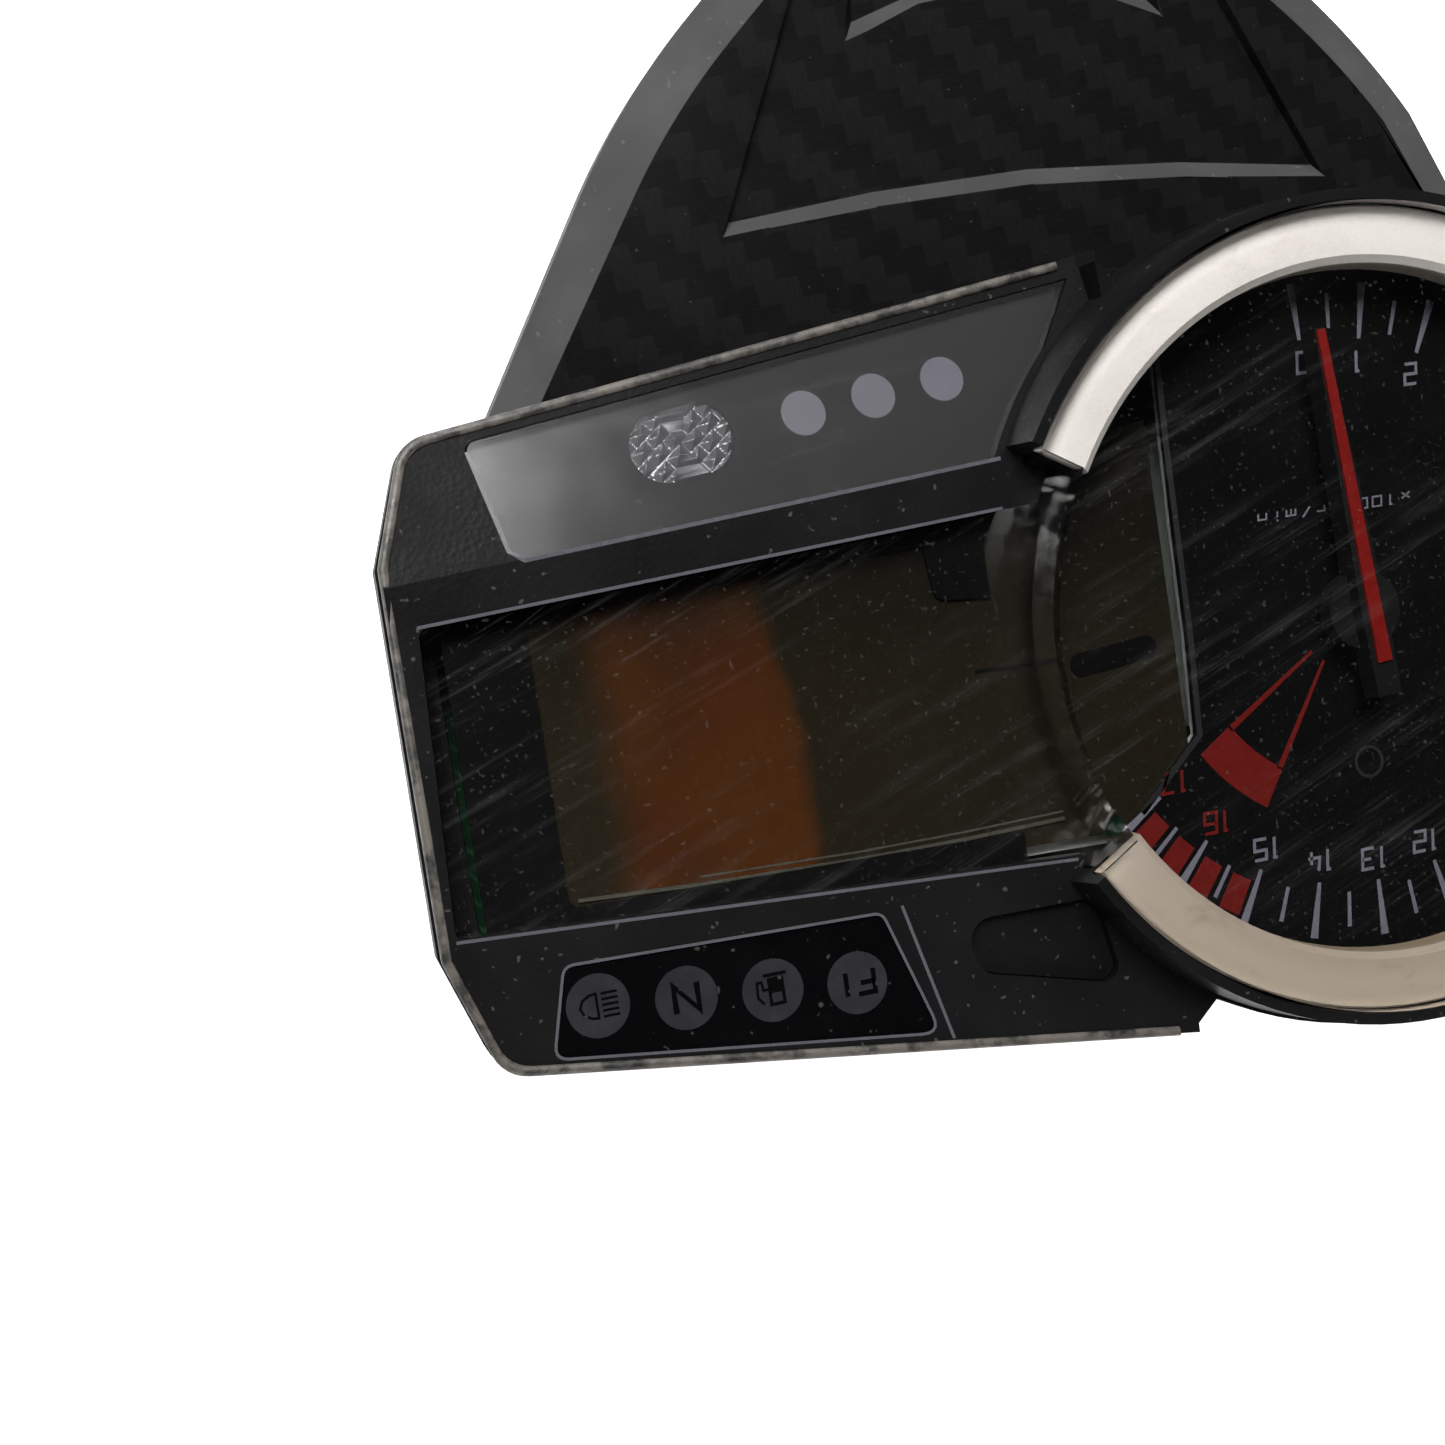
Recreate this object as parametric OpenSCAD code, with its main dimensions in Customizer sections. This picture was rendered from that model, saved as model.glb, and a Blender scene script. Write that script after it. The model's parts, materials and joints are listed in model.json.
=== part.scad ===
// Instrument cluster: round tachometer with a tapering display wing and a trim panel below it.
// +Z is towards the rider, +X to the rider's right, +Y up the face.
// The origin is the pointer's axis on the plane of the case's back.

/* [Case] */
// Radius of the case's rim around the tachometer
drum_r = 55; // [54:0.5:56]
// Half of the wing's taper, in degrees
wing_taper = 8.3; // [8:0.1:8.6]
// X of the wing's free end
wing_end_x = 126.3; // [125:0.5:128]
// Wall thickness of the mouldings
wall = 2.2; // [2:0.1:2.4]
// How far the rim stands out past the rear case
rim_step = 3.5; // [3.2:0.1:3.8]

/* [Heights] */
// Top of the rear case
split_z = 24; // [24:0.1:24.2]
// Top of the wing's flat bar, round the display window
wing_z = 32.6; // [32.4:0.1:32.8]
// Top of the silver ring
ring_z = 38; // [37.8:0.1:38.2]
// Depth of the dial face under the ring's top
dial_depth = 9.3; // [9.2:0.1:9.5]
// Slope of the lower indicator strip, in degrees
strip_slope = 12; // [11:0.5:13]

/* [Dial] */
// Outer radius of the silver ring
ring_outer_r = 52; // [51.6:0.1:52]
// Inner radius of the silver ring
ring_inner_r = 44.7; // [44.4:0.1:45]
// Angle of the ring's upper end
ring_start = 31; // [30:0.5:32]
// Angle of the ring's lower end, below the X axis
ring_end = 30.5; // [30:0.5:31]
// X of the dial face's straight edge
face_edge_x = 23.6; // [23.2:0.1:24]
// Direction of the resting pointer
pointer_rest = -86; // [-88:0.5:-84]
// Length of the pointer from its axis
pointer_len = 37.2; // [36:0.1:38]

/* [Buttons] */
// Distance of each button from the X axis
button_y = 9.6; // [9:0.2:9.8]
// X of both buttons
button_x = -59; // [-59.2:0.1:-58.8]
// Radius of a button
button_r = 3.2; // [3:0.1:3.3]
// Travel of a button
button_travel = 1.2; // [1:0.1:1.3]

/* [Trim panel] */
// X of the trim panel's middle
panel_x = 34; // [33:0.5:35]
// How far the trim panel reaches below the pointer's axis
panel_low = 104; // [102:1:106]
// Depth of the trim panel's recess
recess_depth = 2.6; // [2.4:0.1:2.8]

/* [Hidden] */

eps = 0.01;
dial_z = ring_z - dial_depth;
bezel_z = split_z + 0.8;
board_z = 12;
board_t = 1.6;
board_top = board_z + board_t;
lens_top = ring_z + 2.5;
lens_t = 2;
drum_top = ring_z + 1.6;
pod_half_y = 19;
pod_x = -68;
pod_root_x = -40;
end_slant = 19;
end_distance = 127;
panel_z = split_z;
panel_t = 2.4;
panel_gap = 0.5;

// Display window, in the wing's flat bar
window = [[41.4, -20.2], [122.8, -15.7], [124.2, 20.9], [34.3, 25.6]];
window_r = [1, 1.2, 1.2, 1];
// Indicator strip, below the window
strip = [[33.5, -48], [113.9, -36.6], [110.6, -22], [47.3, -26.4], [44, -31]];
strip_r = [0, 1.5, 2, 2, 0];
strip_break = [110.6, -22];
strip_angle = atan2(4.4, 63.3);
// Icon panel, above the window
icon_field = [[72, 27.3], [66.6, 43.6], [115, 37], [112.2, 26.2]];
icon_r = [1.2, 1.5, 2, 1.2];
icon_first = [108.8, 31.7];
icon_step = [-10.8, 1.2];
icon_lens_r = 3.95;
// Sunk pocket, between the icon panel and the drum
pocket = [[61.8, 30.4], [60, 37.4], [41, 42.4], [43.2, 30.6]];
pocket_r = [3, 3, 2, 3];
dot_first = [71.2, -35.3];
dot_step = [-9.45, -1.05];
dot_r = 2.9;
reflector_at = [87.2, -33.6];
reflector_half = 2.1;
reflector_r = 4.6;

screw_at = [[-33, 33], [-33, -33], [22, 44], [22, -44], [103.5, 33], [103.5, -33]];
screw_seat = 9;
boss_split = 17;
post_at = [[30, 30], [30, -30], [114, 28], [106, -25], [-36, 0]];
insert_at = [[-20, -22], [62, 26], [62, -26]];
backlight_at = [[-30, 20], [-38, 12], [-26, -6], [-28, -20], [12, 22], [6, -34], [40, 0], [70, 0], [90, -10]];
dial_post_at = [[-16, 31], [-16, -32]];
insert_r = 2.5;
insert_depth = 9;
plunger_low = board_top + 2.6;
lcd_low = 25.5;
lcd_high = 27.7;
lcd_x = 25;
header_at = [94, 3];
header_size = [34, 13];
socket_size = [30, 9];
panel_screw_x = [0, 46, 92];

idler_at = [0, -12];
rotor_at = [-8, -18];
tooth_module = 0.4;
low_gear_z = 15.4;
high_gear_z = 17.4;
gear_t = 1.2;
shaft_fit = 0.05;
spindle_r = 1;
pin_r = 0.6;

function unit(v) = v / norm(v);
function at(r, a) = [r * cos(a), r * sin(a)];
function toward(a, b) = atan2(b[1] - a[1], b[0] - a[0]);

// Arc that rounds the corner b between a and c
function corner_arc(a, b, c, r, n) =
    let (u = unit(a - b), w = unit(c - b), half = acos(u * w) / 2,
         mid = b + unit(u + w) * r / sin(half),
         p = b + u * r / tan(half) - mid, q = b + w * r / tan(half) - mid,
         a0 = atan2(p[1], p[0]), a1 = atan2(q[1], q[0]),
         turn = (a1 - a0 + 540) % 360 - 180)
    [for (i = [0:n]) mid + at(r, a0 + turn * i / n)];

// Polygon with each corner rounded by its own radius
function rounded(pts, radii, n = 6) =
    let (last = len(pts) - 1)
    [for (i = [0:last]) each (radii[i] > 0
        ? corner_arc(pts[(i + last) % len(pts)], pts[i], pts[(i + 1) % len(pts)], radii[i], n)
        : [pts[i]])];

// Where two lines meet, each given by its normal's angle and its distance from the origin
function meet(a1, d1, a2, d2) =
    [(d1 * sin(a2) - d2 * sin(a1)) / sin(a2 - a1), (d2 * cos(a1) - d1 * cos(a2)) / sin(a2 - a1)];

// Each edge of a convex outline moved inwards
function inset(pts, d) =
    let (n = len(pts), turn = sign(cross(pts[1] - pts[0], pts[2] - pts[1])),
         angle = [for (i = [0:n - 1]) let (e = pts[(i + 1) % n] - pts[i]) atan2(-e[0] * turn, e[1] * turn)])
    [for (i = [0:n - 1]) let (j = (i + n - 1) % n)
        meet(angle[j], pts[i] * at(1, angle[j]) - d, angle[i], pts[i] * at(1, angle[i]) - d)];

// The case's outline: the drum's arc, its two tangents and the wing's bowed end
function case_outline(d, n = 60) =
    let (a = 90 - wing_taper, r = drum_r - d,
         tip = meet(end_slant, end_distance - d, a, r),
         side = meet(0, wing_end_x - d, end_slant, end_distance - d),
         corner_r = 5 - d * 0.5)
    concat([for (i = [0:n]) at(r, a + (360 - 2 * a) * i / n)],
        corner_arc(at(r, -a), [tip[0], -tip[1]], [side[0], -side[1]], corner_r, 6),
        [[side[0], -side[1]], side],
        corner_arc(side, tip, at(r, a), corner_r, 6));

function pod_outline(d) =
    rounded([[pod_x + d, -pod_half_y + d], [pod_root_x, -pod_half_y + d],
             [pod_root_x, pod_half_y - d], [pod_x + d, pod_half_y - d]],
            [max(1.5, 7 - d), 0, 0, max(1.5, 7 - d)]);

module case_prism(d, low, high) {
    translate([0, 0, low]) linear_extrude(high - low) polygon(case_outline(d));
    translate([0, 0, low]) linear_extrude(high - low) polygon(pod_outline(d));
}

module slab(pts, low, high) {
    translate([0, 0, low]) linear_extrude(high - low) polygon(pts);
}

module rod(p, r, low, high) {
    translate([p[0], p[1], low]) cylinder(r = r, h = high - low, $fn = 48);
}

// Sector that covers the ring's gap, out to radius r
module gap_sector(r, low, high) {
    slab(concat([[0, 0]], [for (i = [0:12]) at(r, -ring_end + (ring_end + ring_start) * i / 12)]), low, high);
}

module drum_body() {
    translate([0, 0, 27]) cylinder(r1 = drum_r - 0.2, r2 = drum_r - 1.2, h = drum_top - 27, $fn = 120);
}

// Space above the wing's sloped part: its floor falls away from the break line
module above_strip() {
    difference() {
        translate([strip_break[0], strip_break[1], wing_z]) rotate([0, 0, strip_angle])
            rotate([strip_slope, 0, 0]) translate([-81, -60, 0]) cube([130, 60, 30]);
        drum_body();
    }
}

// Where the rim's flange ends beside the drum
module rim_notches() {
    for (s = [-1, 1]) difference() {
        slab([[-1, s * 70], [31.5, s * 70], [31.5, s * 49.5], [27.5, s * 46], [-1, s * 46]], bezel_z - 1, 60);
        translate([0, 0, bezel_z - 2]) cylinder(r = drum_r - 0.2, h = 60, $fn = 120);
    }
}

// ---- Case ----

module rear_case() {
    color("#1b1b1d") difference() {
        union() {
            difference() {
                case_prism(rim_step, 0, split_z);
                case_prism(rim_step + wall, 2.4, split_z + 1);
            }
            for (p = screw_at) rod(p, 5.2, 0, boss_split);
            for (p = insert_at) rod(p, 5.5, 0, 11.6);
            for (p = post_at) rod(p, 3.5, 2, board_z);
            for (x = panel_screw_x) panel_lug(x);
        }
        for (p = screw_at) rod(p, 4, -1, screw_seat);
        for (p = screw_at) rod(p, 2.1, 0, split_z);
        for (p = insert_at) rod(p, 4.2, -1, insert_depth);
        for (p = post_at) rod(p, 1.35, 6, board_z + 1);
        for (x = panel_screw_x) rod(panel_screw_place(x), 2.1, 0, 30);
        translate([header_at[0] - header_size[0] / 2 - 0.3, header_at[1] - header_size[1] / 2 - 0.3, -1])
            cube([header_size[0] + 0.6, header_size[1] + 0.6, 5]);
        rod([30, 0], 3, -1, 4);
    }
}

function edge_y(x, d) = -(drum_r - d - x * sin(wing_taper)) / cos(wing_taper);
function panel_screw_place(x) = [x, edge_y(x, 0) - 0.3];

module panel_lug(x) {
    p = panel_screw_place(x);
    rod(p, 3.8, 13, 17.6);
    translate([p[0] - 3.8, p[1], 13]) cube([7.6, 5, 4.6]);
}

module case_gasket() {
    color("#0c0c0c") difference() {
        case_prism(rim_step + 0.1, split_z, bezel_z);
        case_prism(rim_step + wall - 0.4, split_z - 1, bezel_z + 1);
    }
}

module screw(p, seat, top, r, head_r) {
    difference() {
        union() {
            rod(p, head_r, seat - 2, seat);
            rod(p, r, seat - eps, top);
        }
        translate([p[0] - 2.2, p[1] - 0.45, seat - 3]) cube([4.4, 0.9, 2]);
        translate([p[0] - 0.45, p[1] - 2.2, seat - 3]) cube([0.9, 4.4, 2]);
    }
}

module case_screws() {
    color("silver") for (p = screw_at) screw(p, screw_seat, 24.4, 1.9, 3.6);
}

module mount_inserts() {
    color("goldenrod") for (p = insert_at) difference() {
        rod(p, 4.2, 0, insert_depth);
        rod(p, insert_r, -1, insert_depth + 1);
    }
}

module vent_plug() {
    color("#2a2a2c") {
        rod([30, 0], 3, 0.4, 2.4);
        rod([30, 0], 4.5, 2.4, 4);
    }
}

module front_bezel() {
    color("#222224") difference() {
        union() {
            case_prism(0, bezel_z, 28);
            slab(case_outline(0.3), 27, wing_z);
            drum_body();
            slab(pod_outline(0.8), 27, 32);
        }
        // interior: the dial's room, the display's room and the button pod
        translate([0, 0, bezel_z - 1]) cylinder(r = 48.6, h = 7.2, $fn = 120);
        slab([[20, -34], [38, -28], [60, -24.2], [110, -20.6], [121.6, -18.5],
              [121.6, 23], [113, 25.4], [34, 29], [20, 34]], bezel_z - 1, 30.2);
        slab(rounded([[pod_x + 4, -15], [-48, -15], [-48, 15], [pod_x + 4, 15]], [3, 0, 0, 3]),
             bezel_z - 1, 29.5);
        // drum: dial opening, the ring's seat and the lens's rebate
        translate([0, 0, bezel_z - 1]) cylinder(r = ring_inner_r + 1.3, h = 30, $fn = 120);
        translate([0, 0, ring_z - 2.2]) cylinder(r = ring_outer_r + 0.4, h = 10, $fn = 120);
        // the drum's wall is open where the ring is
        gap_sector(80, wing_z, 60);
        // windows and strip
        slab(rounded(window, window_r), 26, 60);
        above_strip();
        rim_notches();
        lens_wall(0.15, wing_z - 2.6);
        difference() {
            strip_layer(rounded(inset(strip, -0.15), strip_r), -3.1, 30);
            strip_cut();
        }
        for (i = [0:2]) rod(dot_first + i * dot_step, dot_r - 0.4, 20, 60);
        slab(obround(reflector_at, reflector_half, reflector_r - 0.8, 6), 20, 60);
        slab(rounded(inset(icon_field, -0.1), icon_r), wing_z - 1.2, 60);
        for (i = [0:3]) rod(icon_first + i * icon_step, icon_lens_r - 0.4, 20, 60);
        slab(rounded(pocket, pocket_r), wing_z - 1.8, 60);
        for (s = [-1, 1]) rod([button_x, s * button_y], button_r + 0.35, 24, 60);
        for (p = screw_at) rod(p, 1.95, 20, 24.6);
    }
    color("#222224") bezel_bosses();
}

// Bosses that the case's screws bite into
module bezel_bosses() {
    difference() {
        intersection() {
            for (p = screw_at) rod(p, 4.6, boss_split + 0.2, bezel_z + 0.6);
            case_prism(rim_step + wall + 0.3, 0, 60);
        }
        for (p = screw_at) rod(p, 1.95, 0, 24.6);
        translate([0, 0, bezel_z + 0.3]) cylinder(r = 48.9, h = 10, $fn = 120);
    }
}

// Clear wall across the ring's gap, with an end wall at each of the ring's ends
module lens_wall(grow, low) {
    difference() {
        slab(concat([[0, 0]], lens_gap(grow, ring_outer_r - 0.4 + grow)), low, lens_top - 0.5);
        translate([0, 0, 1]) cylinder(r = 45.9 - grow, h = 60, $fn = 120);
    }
}

// Outer line of that wall, with its end walls out to end_r
function lens_gap(grow, end_r) =
    let (a0 = -ring_end - grow, a1 = ring_start + grow, r = 47.9 + grow)
    concat([at(end_r, a0), at(end_r, a0 + 1.3)],
           [for (i = [0:16]) at(r, a0 + 1.3 + (a1 - a0 - 2.6) * i / 16)],
           [at(end_r, a1 - 1.3), at(end_r, a1)]);

module front_lens() {
    color("#b8c4c8", 0.35) union() {
        difference() {
            translate([0, 0, lens_top - lens_t]) cylinder(r = ring_outer_r, h = lens_t, $fn = 120);
            difference() {
                gap_sector(80, 0, 60);
                slab(concat([[0, 0]], lens_gap(0.05, ring_outer_r + 3)), -1, 80);
            }
        }
        lens_wall(0, wing_z - 2.4);
        // flat display window
        difference() {
            slab(rounded(inset(window, 0.15), window_r), wing_z - 2.4, wing_z - 0.4);
            translate([0, 0, -1]) cylinder(r = 46.5, h = 80, $fn = 120);
        }
    }
}

module ring_trim() {
    color("#d8cfc0") rotate_extrude(angle = 360 - ring_start - ring_end, start = ring_start, $fn = 180)
        polygon([[ring_inner_r + 0.9, ring_z], [ring_outer_r - 0.3, ring_z], [ring_outer_r, ring_z - 0.3],
                 [ring_outer_r, ring_z - 2.1], [ring_inner_r + 1.2, ring_z - 2.1],
                 [ring_inner_r + 0.8, ring_z - 4],
                 [ring_inner_r - 0.2, ring_z - 4], [ring_inner_r, ring_z - 0.8]]);
}

// Slice of the strip's slope between two depths below its surface
module strip_layer(outline, low, high) {
    intersection() {
        slab(outline, 20, 40);
        translate([strip_break[0], strip_break[1], wing_z]) rotate([0, 0, strip_angle])
            rotate([strip_slope, 0, 0]) translate([-150, -60, low]) cube([200, 80, high - low]);
    }
}

module strip_cut() {
    translate([0, 0, 10]) cylinder(r = drum_r + 0.3, h = 40, $fn = 120);
}

module strip_lens() {
    color("#707478", 0.4) difference() {
        strip_layer(rounded(strip, strip_r), -1.8, -0.15);
        strip_cut();
    }
}

function obround(c, half, r, tilt, n = 12) =
    concat([for (i = [0:n]) c + at(half, tilt) + at(r, tilt - 90 + 180 * i / n)],
           [for (i = [0:n]) c - at(half, tilt) + at(r, tilt + 90 + 180 * i / n)]);

module strip_mask() {
    color("#111112") difference() {
        strip_layer(rounded(strip, strip_r), -3, -1.9);
        strip_cut();
        for (i = [0:2]) rod(dot_first + i * dot_step, dot_r, 0, 60);
        slab(obround(reflector_at, reflector_half, reflector_r, 6), 0, 60);
    }
}

module strip_diffusers() {
    color("#e6e6f2") for (i = [0:2]) intersection() {
        rod(dot_first + i * dot_step, dot_r - 0.05, 0, 60);
        strip_layer([[40, -60], [120, -60], [120, -20], [40, -20]], -3, -1.9);
    }
}

module shift_reflector() {
    color("#f0f0f4") intersection() {
        slab(obround(reflector_at, reflector_half, reflector_r - 0.05, 6), 0, 60);
        strip_layer([[40, -60], [120, -60], [120, -20], [40, -20]], -3, -1.9);
    }
}

module icon_panel() {
    color("#0b0b0c") difference() {
        slab(rounded(icon_field, icon_r), wing_z - 1.2, wing_z - 0.2);
        for (i = [0:3]) rod(icon_first + i * icon_step, icon_lens_r, 0, 60);
    }
}

module icon_lenses() {
    color("#b9b6d6") for (i = [0:3])
        rod(icon_first + i * icon_step, icon_lens_r - 0.05, wing_z - 1.2, wing_z - 0.25);
}

module pocket_insert() {
    color("#303032") slab(rounded(inset(pocket, 0.15), pocket_r), wing_z - 1.8, wing_z - 1.1);
}

// ---- Dial ----

// The part of a disc left of the dial's edge
module face_disc(r, low, high, back) {
    intersection() {
        translate([0, 0, low]) cylinder(r = r, h = high - low, $fn = 120);
        slab([[-60, -60], [face_edge_x - 1.4 - back, -60], [face_edge_x - 0.2 - back, -15],
              [face_edge_x - back, 0], [face_edge_x + 0.6 - back, 13], [face_edge_x + 18 - back, 29.6],
              [60, 60], [-60, 60]], low - 1, high + 1);
    }
}

module dial_face() {
    color("#101012") difference() {
        face_disc(48, dial_z - 0.8, dial_z, 0);
        rod([0, 0], 2.6, 0, 60);
    }
}

module dial_light_guide() {
    color("#dfe6ea", 0.6) difference() {
        face_disc(47.6, dial_z - 3.4, dial_z - 0.8, 1);
        rod([0, 0], 5, 0, 60);
        slab([[lcd_x - 0.5, -60], [60, -60], [60, 60], [lcd_x - 0.5, 60]], 0, 60);
        for (p = dial_post_at) rod(p, 1.4, 0, 60);
    }
}

module dial_posts() {
    color("silver") for (p = dial_post_at) rod(p, 1.35, board_top, dial_z - 0.8);
}

// ---- Display ----

module lcd_glass() {
    color("#5f5c3c") slab([[lcd_x, -29], [37, -27], [58, -22], [113, -19.4], [113, 22], [lcd_x, 24]],
                         lcd_low, lcd_high);
}

module lcd_mask() {
    color("#0a0a0b") difference() {
        union() {
            slab([[50, -21.5], [120, -18], [120, 22.5], [50, 26]], lcd_high + 0.05, lcd_high + 0.6);
            slab([[46.6, -21.5], [58, -21.5], [58, -16], [50, -16]], lcd_high + 0.05, lcd_high + 0.6);
        }
        difference() {
            slab(rounded([[30, -17.6], [109.7, -15.4], [109.7, 20.2], [30, 21.6]], [0, 1.5, 1.5, 0]), 0, 60);
            slab(rounded([[44, -24], [59, -24], [57.4, -9.8], [46.6, -8.8]], [0, 0, 1.5, 1.5]), 0, 60);
        }
    }
}

module lcd_backlight() {
    color("#e8e4d0") slab([[28, -17], [111, -16.5], [111, 21], [28, 22.6]], 22.6, 25.3);
}

module lcd_holder() {
    color("#ececec") difference() {
        slab([[24.6, -20.8], [114.4, -20.2], [114.4, 23.4], [24.6, 25.6]], board_top + 0.1, 25.2);
        slab([[27.6, -17.4], [111.4, -16.8], [111.4, 21.4], [27.6, 23]], 0, 60);
        translate([39.8, -19.4, 0]) cube([60.4, 1.4, 60]);
    }
    color("#ececec") slab([[27.6, -17.4], [111.4, -16.8], [111.4, 21.4], [27.6, 23]], 20.6, 22.4);
}

module zebra_strip() {
    color("#5b2f3a") translate([40, -19.2, board_top]) cube([60, 1, lcd_low - board_top]);
}

// ---- Electronics ----

module main_board() {
    color("#1f5a34") difference() {
        intersection() {
            case_prism(rim_step + wall + 1.2, board_z, board_top);
            slab([[-62, -60], [122, -60], [122, 60], [-62, 60]], 0, 60);
        }
        for (p = screw_at) rod(p, 5.6, 0, 60);
        for (p = post_at) rod(p, 1.6, 0, 60);
        pin_holes();
    }
}

module pin_row() {
    for (i = [-3.5:3.5], j = [-1, 1]) translate([header_at[0] + i * 3.4, header_at[1] + j * 2, 0]) children();
}

module pin_holes() {
    pin_row() translate([0, 0, 1]) cylinder(r = 0.5, h = 20, $fn = 16);
}

module board_screws() {
    color("silver") for (p = post_at) {
        rod(p, 1.3, 6.2, board_top);
        rod(p, 2.6, board_top, board_top + 1.6);
    }
}

module chip(p, size) {
    translate([p[0] - size[0] / 2, p[1] - size[1] / 2, board_top]) cube(size);
}

module backlight_leds() {
    color("#f4ecb0") for (p = backlight_at)
        chip(p, [3.2, 2.8, 1.9]);
}

module indicator_leds() {
    color("#f2f2f2") {
        for (i = [0:3]) chip(icon_first + i * icon_step - [1, 5.6], [3.2, 2.8, 1.9]);
        for (i = [0:2]) chip(dot_first + i * dot_step, [3.2, 2.8, 1.9]);
        for (dx = [-2.4, 2.4]) chip(reflector_at + [dx, 1.6], [3.2, 2.8, 1.9]);
    }
}

module processor() {
    color("#17171a") {
        chip([0, 34], [12, 12, 1.6]);
        for (i = [-5:5]) {
            chip([i, 34], [0.4, 15, 0.5]);
            chip([0, 34 + i], [15, 0.4, 0.5]);
        }
    }
}

module capacitors() {
    color("#9aa0a8") for (p = [[11, -42], [-4, -44]]) rod(p, 3.2, board_top, board_top + 8);
}

module regulator() {
    color("#1c1c20") chip([-38, -14], [8, 7, 3]);
}

module connector_header() {
    color("#e4e0d2") translate([header_at[0], header_at[1], 0]) difference() {
        translate([-header_size[0] / 2, -header_size[1] / 2, 0.4])
            cube([header_size[0], header_size[1], board_z - 0.4]);
        translate([-socket_size[0] / 2, -socket_size[1] / 2, -1]) cube([socket_size[0], socket_size[1], 10]);
        translate([-header_at[0], -header_at[1], 0]) pin_holes();
    }
}

module connector_pins() {
    color("gold") pin_row() translate([-0.32, -0.32, 3.6]) cube([0.64, 0.64, board_top - 2.8]);
}

// ---- Pointer motor ----

// A spur gear whose teeth are slim, so that it runs free in mesh
function gear_points(teeth, phase) =
    let (r = teeth * tooth_module / 2, pitch = 360 / teeth)
    [for (i = [0:teeth - 1], k = [[-0.32, -0.5], [-0.14, 0.34], [0.14, 0.34], [0.32, -0.5]])
        at(r + k[1] * tooth_module * 1.5, phase + pitch * (i + k[0] * (1 - 0.25)))];

module gear(p, teeth, phase, low, bore) {
    translate([p[0], p[1], low]) difference() {
        linear_extrude(gear_t) polygon(gear_points(teeth, phase));
        translate([0, 0, -1]) cylinder(r = bore, h = gear_t + 2, $fn = 32);
    }
}

motor_low = board_top + 0.1;
motor_high = 23;

module motor_case() {
    color("#e9e9ea") difference() {
        translate([-18, -29, motor_low]) cube([36, 42, motor_high - motor_low]);
        translate([-16.6, -27.6, motor_low + 1.3]) cube([33.2, 39.2, 20]);
        rod([0, 0], 2, 0, 60);
    }
    color("#e9e9ea") for (p = [idler_at, rotor_at]) difference() {
        rod(p, 1.6, motor_low + 1, low_gear_z - 0.2);
        rod(p, pin_r, motor_low, 60);
    }
}

module motor_cover() {
    color("#dcdcde") difference() {
        translate([-18, -29, motor_high]) cube([36, 42, 1.4]);
        rod([0, 0], 2, 0, 60);
    }
}

module spindle_bushes() {
    color("goldenrod") for (z = [motor_low, motor_high]) difference() {
        rod([0, 0], 2, z, z + 1.3);
        rod([0, 0], spindle_r + shaft_fit, 0, 60);
    }
}

module stator_core() {
    color("#8d9094") difference() {
        union() {
            translate([rotor_at[0], rotor_at[1], 19.4]) cylinder(r = 6.2, h = 1.2, $fn = 64);
            translate([rotor_at[0], -25.6, 19.4]) cube([23, 2.4, 1.2]);
            translate([rotor_at[0], -19.2, 19.4]) cube([23, 2.4, 1.2]);
            translate([12.6, -25.6, 19.4]) cube([2.4, 8.8, 1.2]);
            translate([-10, -25.6, 19.4]) cube([4, 4, 1.2]);
        }
        rod(rotor_at, 4.2, 0, 60);
    }
}

module stator_coils() {
    color("#b5622d") for (y = [-25.9, -19.5]) difference() {
        translate([-0.5, y, 18]) cube([11, 3, 4]);
        translate([-1, y + 0.25, 19.35]) cube([12, 2.5, 1.3]);
    }
}

module spindle() {
    color("#c8ccd0") rod([0, 0], spindle_r, motor_low + 0.2, dial_z + 3);
}

module output_wheel() {
    color("#f2f2ee") gear([0, 0], 50, toward([0, 0], idler_at) + 180 / 50, high_gear_z, spindle_r);
}

module idler_wheel() {
    color("#f2f2ee") {
        gear(idler_at, 40, toward(idler_at, rotor_at) + 180 / 40, low_gear_z, pin_r + shaft_fit);
        gear(idler_at, 10, toward(idler_at, [0, 0]), high_gear_z, pin_r + shaft_fit);
        difference() {
            rod(idler_at, 1.25, low_gear_z + gear_t - eps, high_gear_z + eps);
            rod(idler_at, pin_r + shaft_fit, 0, 60);
        }
    }
}

module idler_pin() {
    color("silver") rod(idler_at, pin_r, motor_low + 1.3, 20);
}

module rotor_magnet() {
    color("#3a3c40") difference() {
        rod(rotor_at, 3.6, 18, 22);
        rod(rotor_at, pin_r + shaft_fit, 0, 60);
    }
}

module rotor_pinion() {
    color("#f2f2ee") {
        gear(rotor_at, 10, toward(rotor_at, idler_at), low_gear_z, pin_r + shaft_fit);
        difference() {
            rod(rotor_at, 1.25, low_gear_z + gear_t, 18);
            rod(rotor_at, pin_r + shaft_fit, 0, 60);
        }
    }
}

module rotor_pin() {
    color("silver") rod(rotor_at, pin_r, motor_low + 1.3, 22.6);
}

// ---- Pointer ----

pointer_low = dial_z + 3.4;
pointer_high = ring_z - 2.1;

module pointer() {
    color("#141416") rotate([0, 0, pointer_rest]) difference() {
        union() {
            slab([[-11.5, -1.7], [0, -1.9], [pointer_len, -0.7], [pointer_len, 0.7], [0, 1.9], [-11.5, 1.7]],
                 pointer_low, pointer_high - 0.4);
            rod([0, 0], 5.2, pointer_low - 1.2, pointer_low + 1.4);
        }
        rod([0, 0], spindle_r, 0, pointer_low + 0.6);
        translate([-12.5, -3, pointer_high - 0.4]) rotate([0, 40, 0]) translate([-6, 0, -8]) cube([6, 6, 16]);
    }
}

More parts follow.
